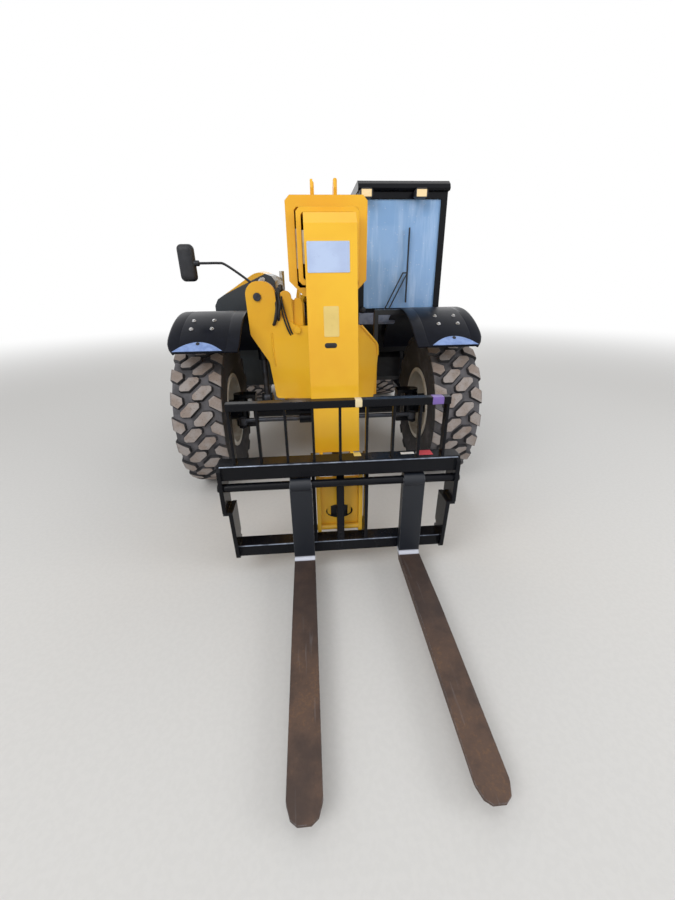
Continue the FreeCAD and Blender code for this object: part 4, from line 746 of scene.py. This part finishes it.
def tyreMesh():
    shape = bmesh.new()
    wall, inner, outer, middle = tyre["wall"], tyre["inner"], tyre["outer"], tyre["middle"]
    profile = list(wall) + [(-x, r) for x, r in wall[-2::-1]] + list(tyre["bore"])
    addTurned(shape, profile, tyre["turns"], alongX, (0, 0, 0), closedProfile=True)
    outlines = ([(-x, -s) for x, s in outer], [(x - middle, s) for x, s in inner],
                [(x + middle, s) for x, s in inner], outer)
    for outline, shift in zip(outlines, tyre["shifts"]):
        for k in range(tyre["pitches"]):
            addBlock(shape, outline, 2 * math.pi * (k + shift) / tyre["pitches"])
    return closedMesh("tyre", shape, "tyreRubber", tyre["crease"])


# rims: turned disc and barrel with pressed dimples

rim = dict(sides=96, crease=38, dimples=6, dimpleCircle=0.243, dimpleX=-0.0052, dimpleSides=24,
    dimple=((-0.001, 0.026), (0.0025, 0.026), (0.004, 0.022), (0.004, 0.016), (0.0, 0.013), (0.0, 0.0)),
    profile=((-0.172, 0.3005), (-0.172, 0.3345), (-0.1685, 0.336), (-0.163, 0.3355), (-0.1595, 0.330),
    (-0.158, 0.3175), (-0.12, 0.3155), (-0.08, 0.308), (0.08, 0.308), (0.12, 0.3155), (0.158, 0.3175),
    (0.1595, 0.330), (0.163, 0.3355), (0.1685, 0.336), (0.172, 0.3345), (0.172, 0.326), (0.168, 0.3045),
    (0.10, 0.300), (0.035, 0.296), (0.004, 0.290), (-0.004, 0.276), (-0.006, 0.25), (-0.001, 0.215),
    (0.006, 0.196), (0.009, 0.182), (0.009, 0.120), (-0.024, 0.118), (-0.024, 0.288), (-0.04, 0.298)))


def rimMesh():
    shape = bmesh.new()
    addTurned(shape, rim["profile"], rim["sides"], alongX, (0, 0, 0), closedProfile=True)
    for spot in aroundAxis(rim["dimpleX"], rim["dimpleCircle"], rim["dimples"], 0.5):
        addTurned(shape, rim["dimple"], rim["dimpleSides"], alongX, spot)
    return closedMesh("rim", shape, "rimPaint", rim["crease"])


# planet hub with wheel nuts on their studs, a ring of small bolts and the tyre's valve

hub = dict(sides=64, crease=35, face=0.009, nuts=10, nutCircle=0.152, nutAcross=0.032, nutTall=0.024,
    studSides=14, stud=((0.02, 0.011), (0.040, 0.011), (0.042, 0.009), (0.042, 0.0)), bolts=12,
    boltX=0.0655, boltCircle=0.096, boltAcross=0.011, boltTall=0.007, valveAt=(0.012, 0.262, 0.085),
    valveSides=12, valve=((-0.02, 0.006), (0.01, 0.006), (0.012, 0.0045), (0.032, 0.0045), (0.033, 0.006),
    (0.044, 0.006), (0.045, 0.004), (0.045, 0.0)), profile=((0.0085, 0.132), (0.018, 0.131), (0.022, 0.127),
    (0.024, 0.121), (0.052, 0.117), (0.058, 0.112), (0.060, 0.106), (0.066, 0.104), (0.070, 0.088),
    (0.0745, 0.084), (0.0765, 0.05), (0.0795, 0.046), (0.0805, 0.022), (0.0805, 0.0)))


def hubMesh():
    shape = bmesh.new()
    addTurned(shape, hub["profile"], hub["sides"], alongX, (0, 0, 0))
    for spot in aroundAxis(hub["face"], hub["nutCircle"], hub["nuts"]):
        addBolt(shape, spot, alongX, hub["nutAcross"], hub["nutTall"])
        addTurned(shape, hub["stud"], hub["studSides"], alongX, spot)
    for spot in aroundAxis(hub["boltX"], hub["boltCircle"], hub["bolts"], 0.5):
        addBolt(shape, spot, alongX, hub["boltAcross"], hub["boltTall"], washer=False)
    addTurned(shape, hub["valve"], hub["valveSides"], alongX, hub["valveAt"])
    return closedMesh("hub", shape, "greyCasting", hub["crease"])


tyreShape = tyreMesh()
rimShape = rimMesh()
hubShape = hubMesh()
for corner in ("front_left", "front_right", "rear_left", "rear_right"):
    low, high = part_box("tyre_" + corner)
    centre = (low + high) / 2
    body = "wheel_" + corner
    where = Matrix.Translation(centre)
    facing = where if centre.x > 0 else where @ Matrix.Rotation(math.pi, 4, "Z")
    placePiece("tyreTread_" + corner, tyreShape, body, ("tyre_" + corner,), where)
    placePiece("rimDisc_" + corner, rimShape, body, ("rim_" + corner,), facing)
    placePiece("rimHub_" + corner, hubShape, body, (), facing)
print("wheels done")


# mudguards: a rounded skin with a rolled lip, two beads and shiny bolts

guard = dict(inside=0.850, outside=0.862, inner=0.650, outer=1.180, lip=0.028, steps=34, axleZ=0.64,
    flapStart=0.78, drawIn=0.05, drawOut=0.012, lipLoss=0.6, bolts=((0.868, 110), (0.868, 118), (1.02, 110),
    (1.02, 118)), rearShift=20, boltAcross=0.019, boltTall=0.009)
guardArcs = (("front", -0.4975, 30.0, 134.0), ("rear", 2.2525, 30.0, 150.0))


def guardSection(endShare):
    # (x, radius) round the skin; near the ends the outer corner is drawn in, as the moulded flap is
    outer = guard["outer"] - guard["drawIn"] * endShare ** 3
    inner = guard["inner"] + guard["drawOut"] * endShare ** 3
    top = guard["outside"]
    under = guard["inside"]
    rim = under - guard["lip"] * (1 - guard["lipLoss"] * endShare ** 2)
    return [(inner, top - 0.003), (inner + 0.004, top), (inner + 0.08, top + 0.0005), (inner + 0.092, top - 0.003),
            (inner + 0.104, top + 0.0005), (outer - 0.104, top + 0.0005), (outer - 0.092, top - 0.003),
            (outer - 0.08, top + 0.0005), (outer - 0.022, top), (outer - 0.010, top - 0.003),
            (outer - 0.003, top - 0.010), (outer, top - 0.022), (outer, rim + 0.004), (outer - 0.003, rim),
            (outer - 0.008, rim), (outer - 0.011, rim + 0.004), (outer - 0.012, under - 0.010),
            (outer - 0.020, under - 0.001), (outer - 0.03, under), (inner + 0.004, under), (inner, under + 0.003)]


def guardOut(angle):
    # the way out from the axle at that angle
    turn = math.radians(angle)
    return Vector((0, math.cos(turn), math.sin(turn)))


def guardPoint(axleY, angle, x, radius):
    return Vector((x, axleY, guard["axleZ"])) + guardOut(angle) * radius


def addGuard(shape, axleY, first, last, side):
    rings = []
    for k in range(guard["steps"] + 1):
        share = k / guard["steps"]
        endShare = max(0.0, (abs(share - 0.5) * 2 - guard["flapStart"]) / (1 - guard["flapStart"]))
        angle = first + (last - first) * share
        rings.append([guardPoint(axleY, angle, side * x, radius) for x, radius in guardSection(endShare)])
    ringStrip(shape, rings)


shape = bmesh.new()
bolts = bmesh.new()
for guardName, axleY, first, last in guardArcs:
    for side in (-1, 1):
        addGuard(shape, axleY, first, last, side)
        for x, angle in guard["bolts"]:
            rearAngle = angle - guard["rearShift"]
            for spot in (angle,) if guardName == "front" else (rearAngle, 180 - rearAngle):
                addBolt(bolts, guardPoint(axleY, spot, side * x, guard["outside"]), guardOut(spot),
                        guard["boltAcross"], guard["boltTall"])
addPiece("mudguardSkins", shape, "guardPlastic", "chassis", ("mudguards",))
addPiece("mudguardBolts", bolts, "brightBolt", "chassis")

# raised crescent on the front flap, coloured pale blue as a painted highlight of light along the lip, and a small
# notch at its middle
crescent = dict(axleY=-0.4975, middle=0.95, half=0.175, low=133.4, rise=5.6, thinnest=0.02, steps=18,
    section=((0.0, 0.0), (0.0, 0.004), (0.5, 0.0055), (1.0, 0.003), (1.0, 0.0)), notchAngle=129.0,
    notchLift=0.004, notchSides=18, notch=((-0.003, 0.014), (0.002, 0.014), (0.003, 0.012), (0.003, 0.0)))
shape = bmesh.new()
notches = bmesh.new()
for side in (-1, 1):
    rings = []
    for k in range(crescent["steps"] + 1):
        across = -1 + 2 * k / crescent["steps"]
        tall = crescent["rise"] * max(crescent["thinnest"], 1 - across * across)
        x = side * (crescent["middle"] + crescent["half"] * across)
        rings.append([guardPoint(crescent["axleY"], crescent["low"] - tall * share, x, guard["outside"] + proud)
                      for share, proud in crescent["section"]])
    ringStrip(shape, rings)
    spot = guardPoint(crescent["axleY"], crescent["notchAngle"], side * crescent["middle"],
                      guard["outside"] + crescent["notchLift"])
    addTurned(notches, crescent["notch"], crescent["notchSides"], guardOut(crescent["notchAngle"]), spot)
addPiece("mudguardCrescents", shape, "guardRim", "chassis")
addPiece("mudguardNotches", notches, "blackPlastic", "chassis")
print("mudguards done")


# mirror: domed shell on a bent arm, glass at the back

mirror = dict(x=-1.023, z=1.852, width=0.122, height=0.25, front=-0.7475, back=-0.6995, corner=0.034,
    arm=0.009, armSides=12, armY=-0.7175, clampX=-0.955, clampZ=1.85, clampSides=18, path=((-0.568, 1.714),
    (-0.66, 1.782), (-0.752, 1.842), (-0.80, 1.85), (-0.88, 1.85), (-0.985, 1.85)), clamp=((-0.02, 0.0),
    (-0.02, 0.02), (0.018, 0.02), (0.022, 0.014), (0.022, 0.0)), shellBack=((-0.003, 0.008), (0.0, 0.006),
    (0.0, 0.001), (-0.012, 0.0)), shellFront=((0.018, 0.004), (0.008, 0.012), (0.002, 0.024), (0.0, 0.04)),
    glass=((-0.001, 0.009), (0.0015, 0.009), (0.002, 0.0105)))


def mirrorRings(base, levels):
    rings = []
    for shift, inset in levels:
        outline = roundedOutline(mirror["width"] - 2 * inset, mirror["height"] - 2 * inset,
                                 max(mirror["corner"] - inset * 0.5, 0.01), 6)
        rings.append([Vector((mirror["x"] + a, base + shift, mirror["z"] + b)) for a, b in outline])
    return rings


shape = bmesh.new()
rings = mirrorRings(mirror["back"], mirror["shellBack"]) + mirrorRings(mirror["front"], mirror["shellFront"])
ringStrip(shape, rings)
sweep(shape, [(x, mirror["armY"], z) for x, z in mirror["path"]], mirror["arm"], mirror["armSides"])
clampAt = (mirror["clampX"], mirror["armY"], mirror["clampZ"])
addTurned(shape, mirror["clamp"], mirror["clampSides"], alongX, clampAt)
addPiece("mirrorShell", shape, "blackPlastic", "chassis", ("mirror",))
shape = bmesh.new()
ringStrip(shape, mirrorRings(mirror["back"], mirror["glass"]))
addPiece("mirrorGlass", shape, "chromeRod", "chassis")
print("mirror done")


# bracket between the tower and the boom: crowned front plate, its web, two lugs and a boss

tower = dict(front=-0.7025, back=-0.56, left=-0.366, right=-0.262, foot=1.31, top=1.655, thick=0.018,
    crown=0.048, web=0.014, webTop=1.54, webIn=0.06, boss=(-0.234, -0.70, 1.362), bossSides=26,
    bossShape=((-0.05, 0.0), (-0.05, 0.024), (-0.046, 0.028), (0.04, 0.028), (0.04, 0.0)),
    lug=((-0.262, 1.30), (-0.185, 1.30), (-0.185, 1.56), (-0.20, 1.60), (-0.24, 1.60), (-0.262, 1.575)),
    lugAt=(-0.68, -0.664), backLug=((-0.32, 1.30), (-0.19, 1.30), (-0.19, 1.585), (-0.32, 1.585)),
    backLugAt=(-0.62, -0.60))
shape = bmesh.new()
left, right, foot, top = tower["left"], tower["right"], tower["foot"], tower["top"]
front = tower["front"]
bend = tower["crown"]
crown = [(left + bend + bend * math.cos(math.radians(t)), top - bend + bend * math.sin(math.radians(t)))
         for t in range(0, 181, 15)]
addFlat(shape, [(right, foot)] + crown + [(left, foot)], 1, front, front + tower["thick"])
webTop = top - tower["webIn"]
addFlat(shape, [(front + 0.002, foot), (tower["back"], foot), (tower["back"], tower["webTop"]),
                (front + tower["webIn"], webTop), (front + 0.002, webTop)], 0, right - tower["web"], right)
addFlat(shape, tower["lug"], 1, *tower["lugAt"])
addFlat(shape, tower["backLug"], 1, *tower["backLugAt"])
addTurned(shape, tower["bossShape"], tower["bossSides"], alongY, tower["boss"])
addPiece("towerBracket", shape, "yellowPaint", "chassis")

# welded seam down the tower, rolled rim at the front plate's right edge
seams = (dict(y=-0.7295, radius=0.0055, sides=8, path=((-0.441, 1.343), (-0.441, 1.249), (-0.437, 1.152),
    (-0.431, 1.078))), dict(y=-0.7325, radius=0.0085, sides=10, path=((0.285, 1.386), (0.35, 1.315),
    (0.412, 1.246), (0.424, 1.20), (0.427, 1.148))))
shape = bmesh.new()
for seam in seams:
    sweep(shape, [(x, seam["y"], z) for x, z in seam["path"]], seam["radius"], seam["sides"])
addPiece("frontSeams", shape, "yellowPaint", "chassis")

# small stop on the tower's top
stop = dict(outline=((-0.52, 1.716), (-0.47, 1.716), (-0.462, 1.742), (-0.478, 1.752), (-0.512, 1.736)),
    front=-0.70, back=-0.688, boltX=-0.49, boltZ=1.732, boltAcross=0.02, boltTall=0.01)
shape = bmesh.new()
addFlat(shape, stop["outline"], 1, stop["front"], stop["back"])
addBolt(shape, (stop["boltX"], stop["front"], stop["boltZ"]), -alongY, stop["boltAcross"], stop["boltTall"])
addPiece("towerStop", shape, "brightBolt", "chassis")

# formed pipes between the tower and the boom, the two thick ones from a union nut
pipeRuns = ((0.013, 12, ((-0.375, -0.66, 1.66), (-0.392, -0.70, 1.60), (-0.386, -0.735, 1.53),
    (-0.40, -0.745, 1.46), (-0.415, -0.735, 1.415), (-0.43, -0.70, 1.40))), (0.0105, 12,
    ((-0.352, -0.66, 1.68), (-0.368, -0.71, 1.62), (-0.36, -0.742, 1.56), (-0.372, -0.75, 1.50),
    (-0.378, -0.735, 1.45), (-0.384, -0.70, 1.43))), (0.0065, 10, ((-0.345, -0.67, 1.63),
    (-0.345, -0.725, 1.58), (-0.318, -0.735, 1.46), (-0.285, -0.735, 1.35), (-0.262, -0.70, 1.315))),
    (0.0065, 10, ((-0.352, -0.67, 1.60), (-0.352, -0.722, 1.54), (-0.335, -0.732, 1.44),
    (-0.30, -0.733, 1.34), (-0.275, -0.70, 1.305))))
union = dict(places=((-0.375, -0.665, 1.65), (-0.352, -0.665, 1.672)), axis=(0, 0.5, 1),
    profile=((-0.024, 0.0), (-0.024, 0.019), (0.02, 0.019), (0.024, 0.015), (0.024, 0.0)))
shape = bmesh.new()
for radius, sides, path in pipeRuns:
    sweep(shape, path, radius, sides)
for place in union["places"]:
    addTurned(shape, union["profile"], 6, union["axis"], place)
addPiece("towerPipes", shape, "hosePlastic", "chassis")

# pipe guides standing on the boom
guide = dict(at=((-0.083, 2.312), (0.07, 2.33)), half=0.013, tip=0.007, slant=0.008, foot=2.135,
    front=-0.93, back=-0.916, boltZ=2.16, boltAcross=0.014, boltTall=0.007)
shape = bmesh.new()
for x, topZ in guide["at"]:
    half, tip, slant = guide["half"], guide["tip"], topZ - guide["slant"]
    addFlat(shape, [(x - half, guide["foot"]), (x + half, guide["foot"]), (x + half, slant), (x + tip, topZ),
                    (x - tip, topZ), (x - half, slant)], 1, guide["front"], guide["back"])
    addBolt(shape, (x, guide["front"], guide["boltZ"]), -alongY, guide["boltAcross"], guide["boltTall"])
addPiece("boomGuides", shape, "yellowPaint", "boom_outer")

# cowl under the windscreen, and the knob beside it
cowl = dict(outline=((0.352, 1.330), (0.70, 1.330), (0.715, 1.345), (0.715, 1.42), (0.70, 1.436),
    (0.352, 1.436)), raised=((0.50, 1.345), (0.69, 1.345), (0.70, 1.355), (0.70, 1.41), (0.69, 1.42),
    (0.50, 1.42)), plate=(-0.052, -0.028), raisedPlate=(-0.06, -0.048), knobAt=(0.392, -0.026, 1.462),
    knobSides=24, knob=((0.0, 0.0), (0.0, 0.03), (0.018, 0.032), (0.026, 0.03), (0.036, 0.02), (0.04, 0.0)))
shape = bmesh.new()
addFlat(shape, cowl["outline"], 1, *cowl["plate"])
addFlat(shape, cowl["raised"], 1, *cowl["raisedPlate"])
addPiece("cowlPanel", shape, "cowlPlastic", "chassis")
shape = bmesh.new()
addTurned(shape, cowl["knob"], cowl["knobSides"], -alongY, cowl["knobAt"])
addPiece("screenKnob", shape, "blackPlastic", "chassis")
print("front details done")


# seat: crowned, seamed cushions

seat = dict(middle=0.7475, width=0.476, depth=0.396, thick=0.096, front=0.7625, gap=0.002, base=1.3505,
    crown=0.016, channels=(-0.09, 0.0, 0.09), backWidth=0.452, backHeight=0.6, backThick=0.088,
    backCrown=0.014, backLean=7.0, backY=0.505, backZ=1.372, backChannels=(-0.18, -0.06, 0.06, 0.18),
    fill=0.7)
pad = dict(corner=0.055, least=0.006, steps=7, pull=0.006, cornerFrom=0.3, crownFrom=0.7, channelFrom=0.9,
    channelDeep=0.006, channelWide=0.008, crease=80, levels=((0.0, 0.022), (0.004, 0.010), (0.02, 0.002),
    (0.42, 0.0), (0.60, 0.002), (0.645, 0.0065), (0.69, 0.003), (0.80, 0.010), (0.90, 0.028), (0.95, 0.05),
    (0.975, 0.078), (0.99, 0.108), (1.0, 0.138), (1.0, 0.165), (1.0, 0.185)))


def padRing(width, height, thick, crown, channels, lift, inset):
    # one outline over the underside; sides pull in between the corners
    ring = []
    radius = max(pad["corner"] - inset * 0.3, pad["least"])
    for a, b in roundedOutline(width - 2 * inset, height - 2 * inset, radius, pad["steps"]):
        outA, outB = abs(a) > width * pad["cornerFrom"], abs(b) > height * pad["cornerFrom"]
        roundA, roundB = 1 - (2 * a / width) ** 2, 1 - (2 * b / height) ** 2
        pull = pad["pull"] * (roundA * outB + roundB * outA)
        a -= math.copysign(pull, a) * outA
        b -= math.copysign(pull, b) * outB
        rise = dip = 0.0
        if lift > pad["crownFrom"]:
            rise = crown * (1 - (2 * a / width) ** 2) * (1 - (2 * b / height) ** 2)
        if lift > pad["channelFrom"]:
            dip = sum(pad["channelDeep"] * math.exp(-((b - c) / pad["channelWide"]) ** 2) for c in channels)
        ring.append((a, b, (thick - crown) * lift + rise - dip))
    return ring


def padPiece(name, width, height, thick, crown, channels, turn):
    # from a flat underside up over a crowned face with sewn channels
    rings = [padRing(width, height, thick, crown, channels, lift, inset) for lift, inset in pad["levels"]]
    shape = bmesh.new()
    ringStrip(shape, [[turn @ Vector(p) for p in ring] for ring in rings])
    piece = addPiece(name, shape, "seatCloth", "chassis", ("seat_cushions",), crease=pad["crease"])
    smooth = piece.modifiers.new("rounder", "SUBSURF")
    smooth.levels = 1
    smooth.render_levels = 2


middleY = seat["front"] + seat["depth"] / 2 + seat["gap"]
padPiece("seatCushion", seat["width"], seat["depth"], seat["thick"], seat["crown"], seat["channels"],
         Matrix.Translation((seat["middle"], middleY, seat["base"])))
backTurn = (Matrix.Translation((seat["middle"], seat["front"] + seat["backY"], seat["backZ"]))
            @ Matrix.Rotation(math.radians(-seat["backLean"]), 4, "X")
            @ Matrix.Translation((0, 0, seat["backHeight"] / 2)) @ Matrix.Rotation(math.radians(90), 4, "X"))
padPiece("seatBack", seat["backWidth"], seat["backHeight"], seat["backThick"], seat["backCrown"],
         seat["backChannels"], backTurn)
print("seat done")


# blank plates on the boom head's sloping front: look, slot, then centre, size, thickness and corner

nose = dict(top=Vector((0, -1.4825, 2.062)), knee=Vector((0, -1.6475, 0.9)))
nosePlates = {
    "noseSign": ("signPlate", "yellow_paint", [((-0.016, 1.832), (0.242, 0.162), 0.0022, 0.006)]),
    "noseStrip": ("paleYellow", "yellow_paint", [((-0.009, 1.49), (0.09, 0.172), 0.0022, 0.008)]),
    "noseSlot": ("blackPlastic", "black_plastic", [((-0.016, 1.356), (0.074, 0.03), 0.0015, 0.0145),
        ((-0.016, 1.356), (0.058, 0.017), 0.003, 0.008)]),
}
for plateName, (look, slot, plates) in nosePlates.items():
    shape = bmesh.new()
    for (x, z), size, thick, corner in plates:
        share = (z - nose["knee"].z) / (nose["top"].z - nose["knee"].z)
        spot = nose["knee"].lerp(nose["top"], share) + alongX * x
        addPlate(shape, spot, alongX, nose["top"] - nose["knee"], size, thick, corner)
    addPiece(plateName, shape, look, "boom_inner")

# labels on the fork frame's upper beam: look, centre, size
beamTag = dict(z=0.794, thick=0.0016, corner=0.003)
beamTags = {
    "beamTagYellow": ("paleYellow", (0.102, -1.938), (0.042, 0.05)),
    "beamTagWhite": ("whiteLabel", (0.392, -1.952), (0.078, 0.026)),
    "beamTagRed": ("redLabel", (0.492, -1.955), (0.085, 0.062)),
}
for tagName, (look, (x, y), size) in beamTags.items():
    shape = bmesh.new()
    addPlate(shape, (x, y, beamTag["z"]), alongX, alongY, size, beamTag["thick"], beamTag["corner"])
    addPiece(tagName, shape, look, "carriage")

# one turn of tape round the guard's top rail: look, start and end
tape = dict(y=-2.0025, z=1.1245, deep=0.05, tall=0.039, corner=0.005, first=((0.0, -0.0005),
    (0.002, 0.0016)), last=((-0.003, 0.0012), (0.0, -0.0005)))
tapes = {"railTapePurple": ("purpleTape", 0.488, 0.55), "railTapeCream": ("creamTape", 0.078, 0.116)}
for tapeName, (look, start, end) in tapes.items():
    rings = []
    for x, grow in [(start + a, g) for a, g in tape["first"]] + [(end + a, g) for a, g in tape["last"]]:
        outline = roundedOutline(tape["deep"] + 2 * grow, tape["tall"] + 2 * grow, tape["corner"], 3)
        rings.append([Vector((x, tape["y"] + a, tape["z"] + b)) for a, b in outline])
    shape = bmesh.new()
    ringStrip(shape, rings)
    addPiece(tapeName, shape, look, "carriage")

# pale metal beads along the front edges of the fork frame's beams, a painted highlight of the edges catching the
# light
bead = dict(radius=0.0035, end=0.7, taper=0.004, sides=12, rows=((-2.0295, 0.7925, -0.664, 0.664),
    (-1.9750, 0.2185, -0.631, 0.631)))
shape = bmesh.new()
for y, z, start, end in bead["rows"]:
    full, small, taper = bead["radius"], bead["radius"] * bead["end"], bead["taper"]
    profile = [(start, 0.0), (start, small), (start + taper, full), (end - taper, full), (end, small), (end, 0.0)]
    addTurned(shape, profile, bead["sides"], alongX, (0, y, z))
addPiece("beamRims", shape, "polishedEdge", "carriage")

# dark pocket behind the hitch's hole, a painted shade that stands for the shadow seen through the hole
shadePocket = dict(z=0.37, wide=0.0846, tall=0.0496, sides=48, levels=((-1.8685, 1.0), (-1.838, 0.98),
    (-1.832, 0.92), (-1.832, 0.5)))
rings = []
for y, share in shadePocket["levels"]:
    oval = aroundAxis(0.0, share, shadePocket["sides"])
    rings.append([Vector((shadePocket["wide"] * spot.y, y, shadePocket["z"] + shadePocket["tall"] * spot.z)) for spot in oval])
shape = bmesh.new()
made = ringStrip(shape, rings, capped=False)
shape.faces.new(made[-1])
addPiece("hitchPocket", shape, "blackPlastic", "carriage")
print("plates done")


# floor, light and camera

white = (1.0, 1.0, 1.0, 1.0)
floorLook = dict(colour=seen(214, 213, 211), shade=seen(212, 211, 209), mottle=(40.0, 2.0),
    mottleBand=(0.4, 0.6), fadeBand=(5.0, 16.0), rough=0.75, gloss=0.2, radius=60.0, sides=96)


def floorMaterial():
    # pale floor that fades to the background's white far out, for the camera only
    look = floorLook
    recipe, place = newRecipe("paleFloor")
    fade = (place.dot(place) ** 0.5).between(*look["fadeBand"])
    path = recipe.node("LightPath", output="Is Camera Ray")
    mottle = place.noise(*look["mottle"]).between(*look["mottleBand"])
    ground = recipe.node("BsdfPrincipled", None, {"Base Color": recipe.mix(look["colour"], look["shade"], mottle),
                                                  "Roughness": look["rough"], "Specular IOR Level": look["gloss"]})
    bright = recipe.node("Emission", None, {"Color": white, "Strength": 1.0})
    both = recipe.node("MixShader", None, {0: fade * path, 1: ground, 2: bright})
    recipe.node("OutputMaterial", None, {"Surface": both})
    return recipe.owner


shape = bmesh.new()
bmesh.ops.create_circle(shape, cap_ends=True, segments=floorLook["sides"], radius=floorLook["radius"])
floorMesh = bpy.data.meshes.new("floor")
shape.to_mesh(floorMesh)
shape.free()
floorMesh.materials.append(floorMaterial())
floor = bpy.data.objects.new("floor", floorMesh)
scene.collection.objects.link(floor)

studio = dict(around=0.63)


def makeWorld():
    # white behind the object and in its reflections, softer where it only lights
    recipe = Recipe(bpy.data.worlds.new("studio"))
    camera, glossy, through = (recipe.node("LightPath", output=name)
                               for name in ("Is Camera Ray", "Is Glossy Ray", "Is Transmission Ray"))
    seenRay = camera.highest(glossy).highest(through)
    level = studio["around"] + seenRay * (1 - studio["around"])
    sky = recipe.node("Background", None, {"Color": white, "Strength": level})
    recipe.node("OutputWorld", None, {"Surface": sky})
    return recipe.owner


scene.world = makeWorld()
softboxes = {
    "keyBox": dict(place=(-4.6, -6.8, 6.2), aim=(0.0, -0.6, 0.7), size=(5.0, 3.4), power=262),
    "fillBox": dict(place=(6.0, -4.5, 3.8), aim=(0.2, 0.0, 0.9), size=(3.4, 3.4), power=125),
    "backBox": dict(place=(1.5, 8.5, 6.5), aim=(0.0, 1.5, 1.0), size=(5.0, 3.0), power=170),
    "topBox": dict(place=(0.0, -3.6, 5.4), aim=(0.0, -1.9, 0.8), size=(3.0, 1.2), power=26),
}
for boxName, box in softboxes.items():
    lamp = bpy.data.lights.new(boxName, "AREA")
    lamp.shape = "RECTANGLE"
    lamp.size, lamp.size_y = box["size"]
    lamp.energy = box["power"]
    lampObject = bpy.data.objects.new(boxName, lamp)
    scene.collection.objects.link(lampObject)
    way = Vector(box["aim"]) - Vector(box["place"])
    lampObject.matrix_world = Matrix.Translation(box["place"]) @ way.to_track_quat("-Z", "Y").to_matrix().to_4x4()
scene.view_settings.view_transform = "Standard"

# degrees for the turns, pixels for the focal length and the picture's height
view = dict(place=(-0.1467, -3.8456, 1.6827), pitch=24.116, yaw=4.060, roll=0.861, focal=366.66, tall=900,
    sensor=36.0, reach=200.0)


def makeCamera():
    pitch, yaw, roll = (math.radians(view[key]) for key in ("pitch", "yaw", "roll"))
    ahead = Vector((math.sin(yaw) * math.cos(pitch), math.cos(yaw) * math.cos(pitch), -math.sin(pitch)))
    right = Vector((math.cos(yaw), -math.sin(yaw), 0.0))
    down = ahead.cross(right)
    turnedRight = right * math.cos(roll) + down * math.sin(roll)
    turnedDown = down * math.cos(roll) - right * math.sin(roll)
    data = bpy.data.cameras.new("photoCamera")
    data.sensor_width = view["sensor"]
    data.lens = view["focal"] * view["sensor"] / view["tall"]
    data.clip_end = view["reach"]
    camera = bpy.data.objects.new("photoCamera", data)
    scene.collection.objects.link(camera)
    axes = Matrix((turnedRight, -turnedDown, -ahead)).transposed().to_4x4()
    camera.matrix_world = Matrix.Translation(view["place"]) @ axes
    scene.camera = camera


makeCamera()
print("stage done")
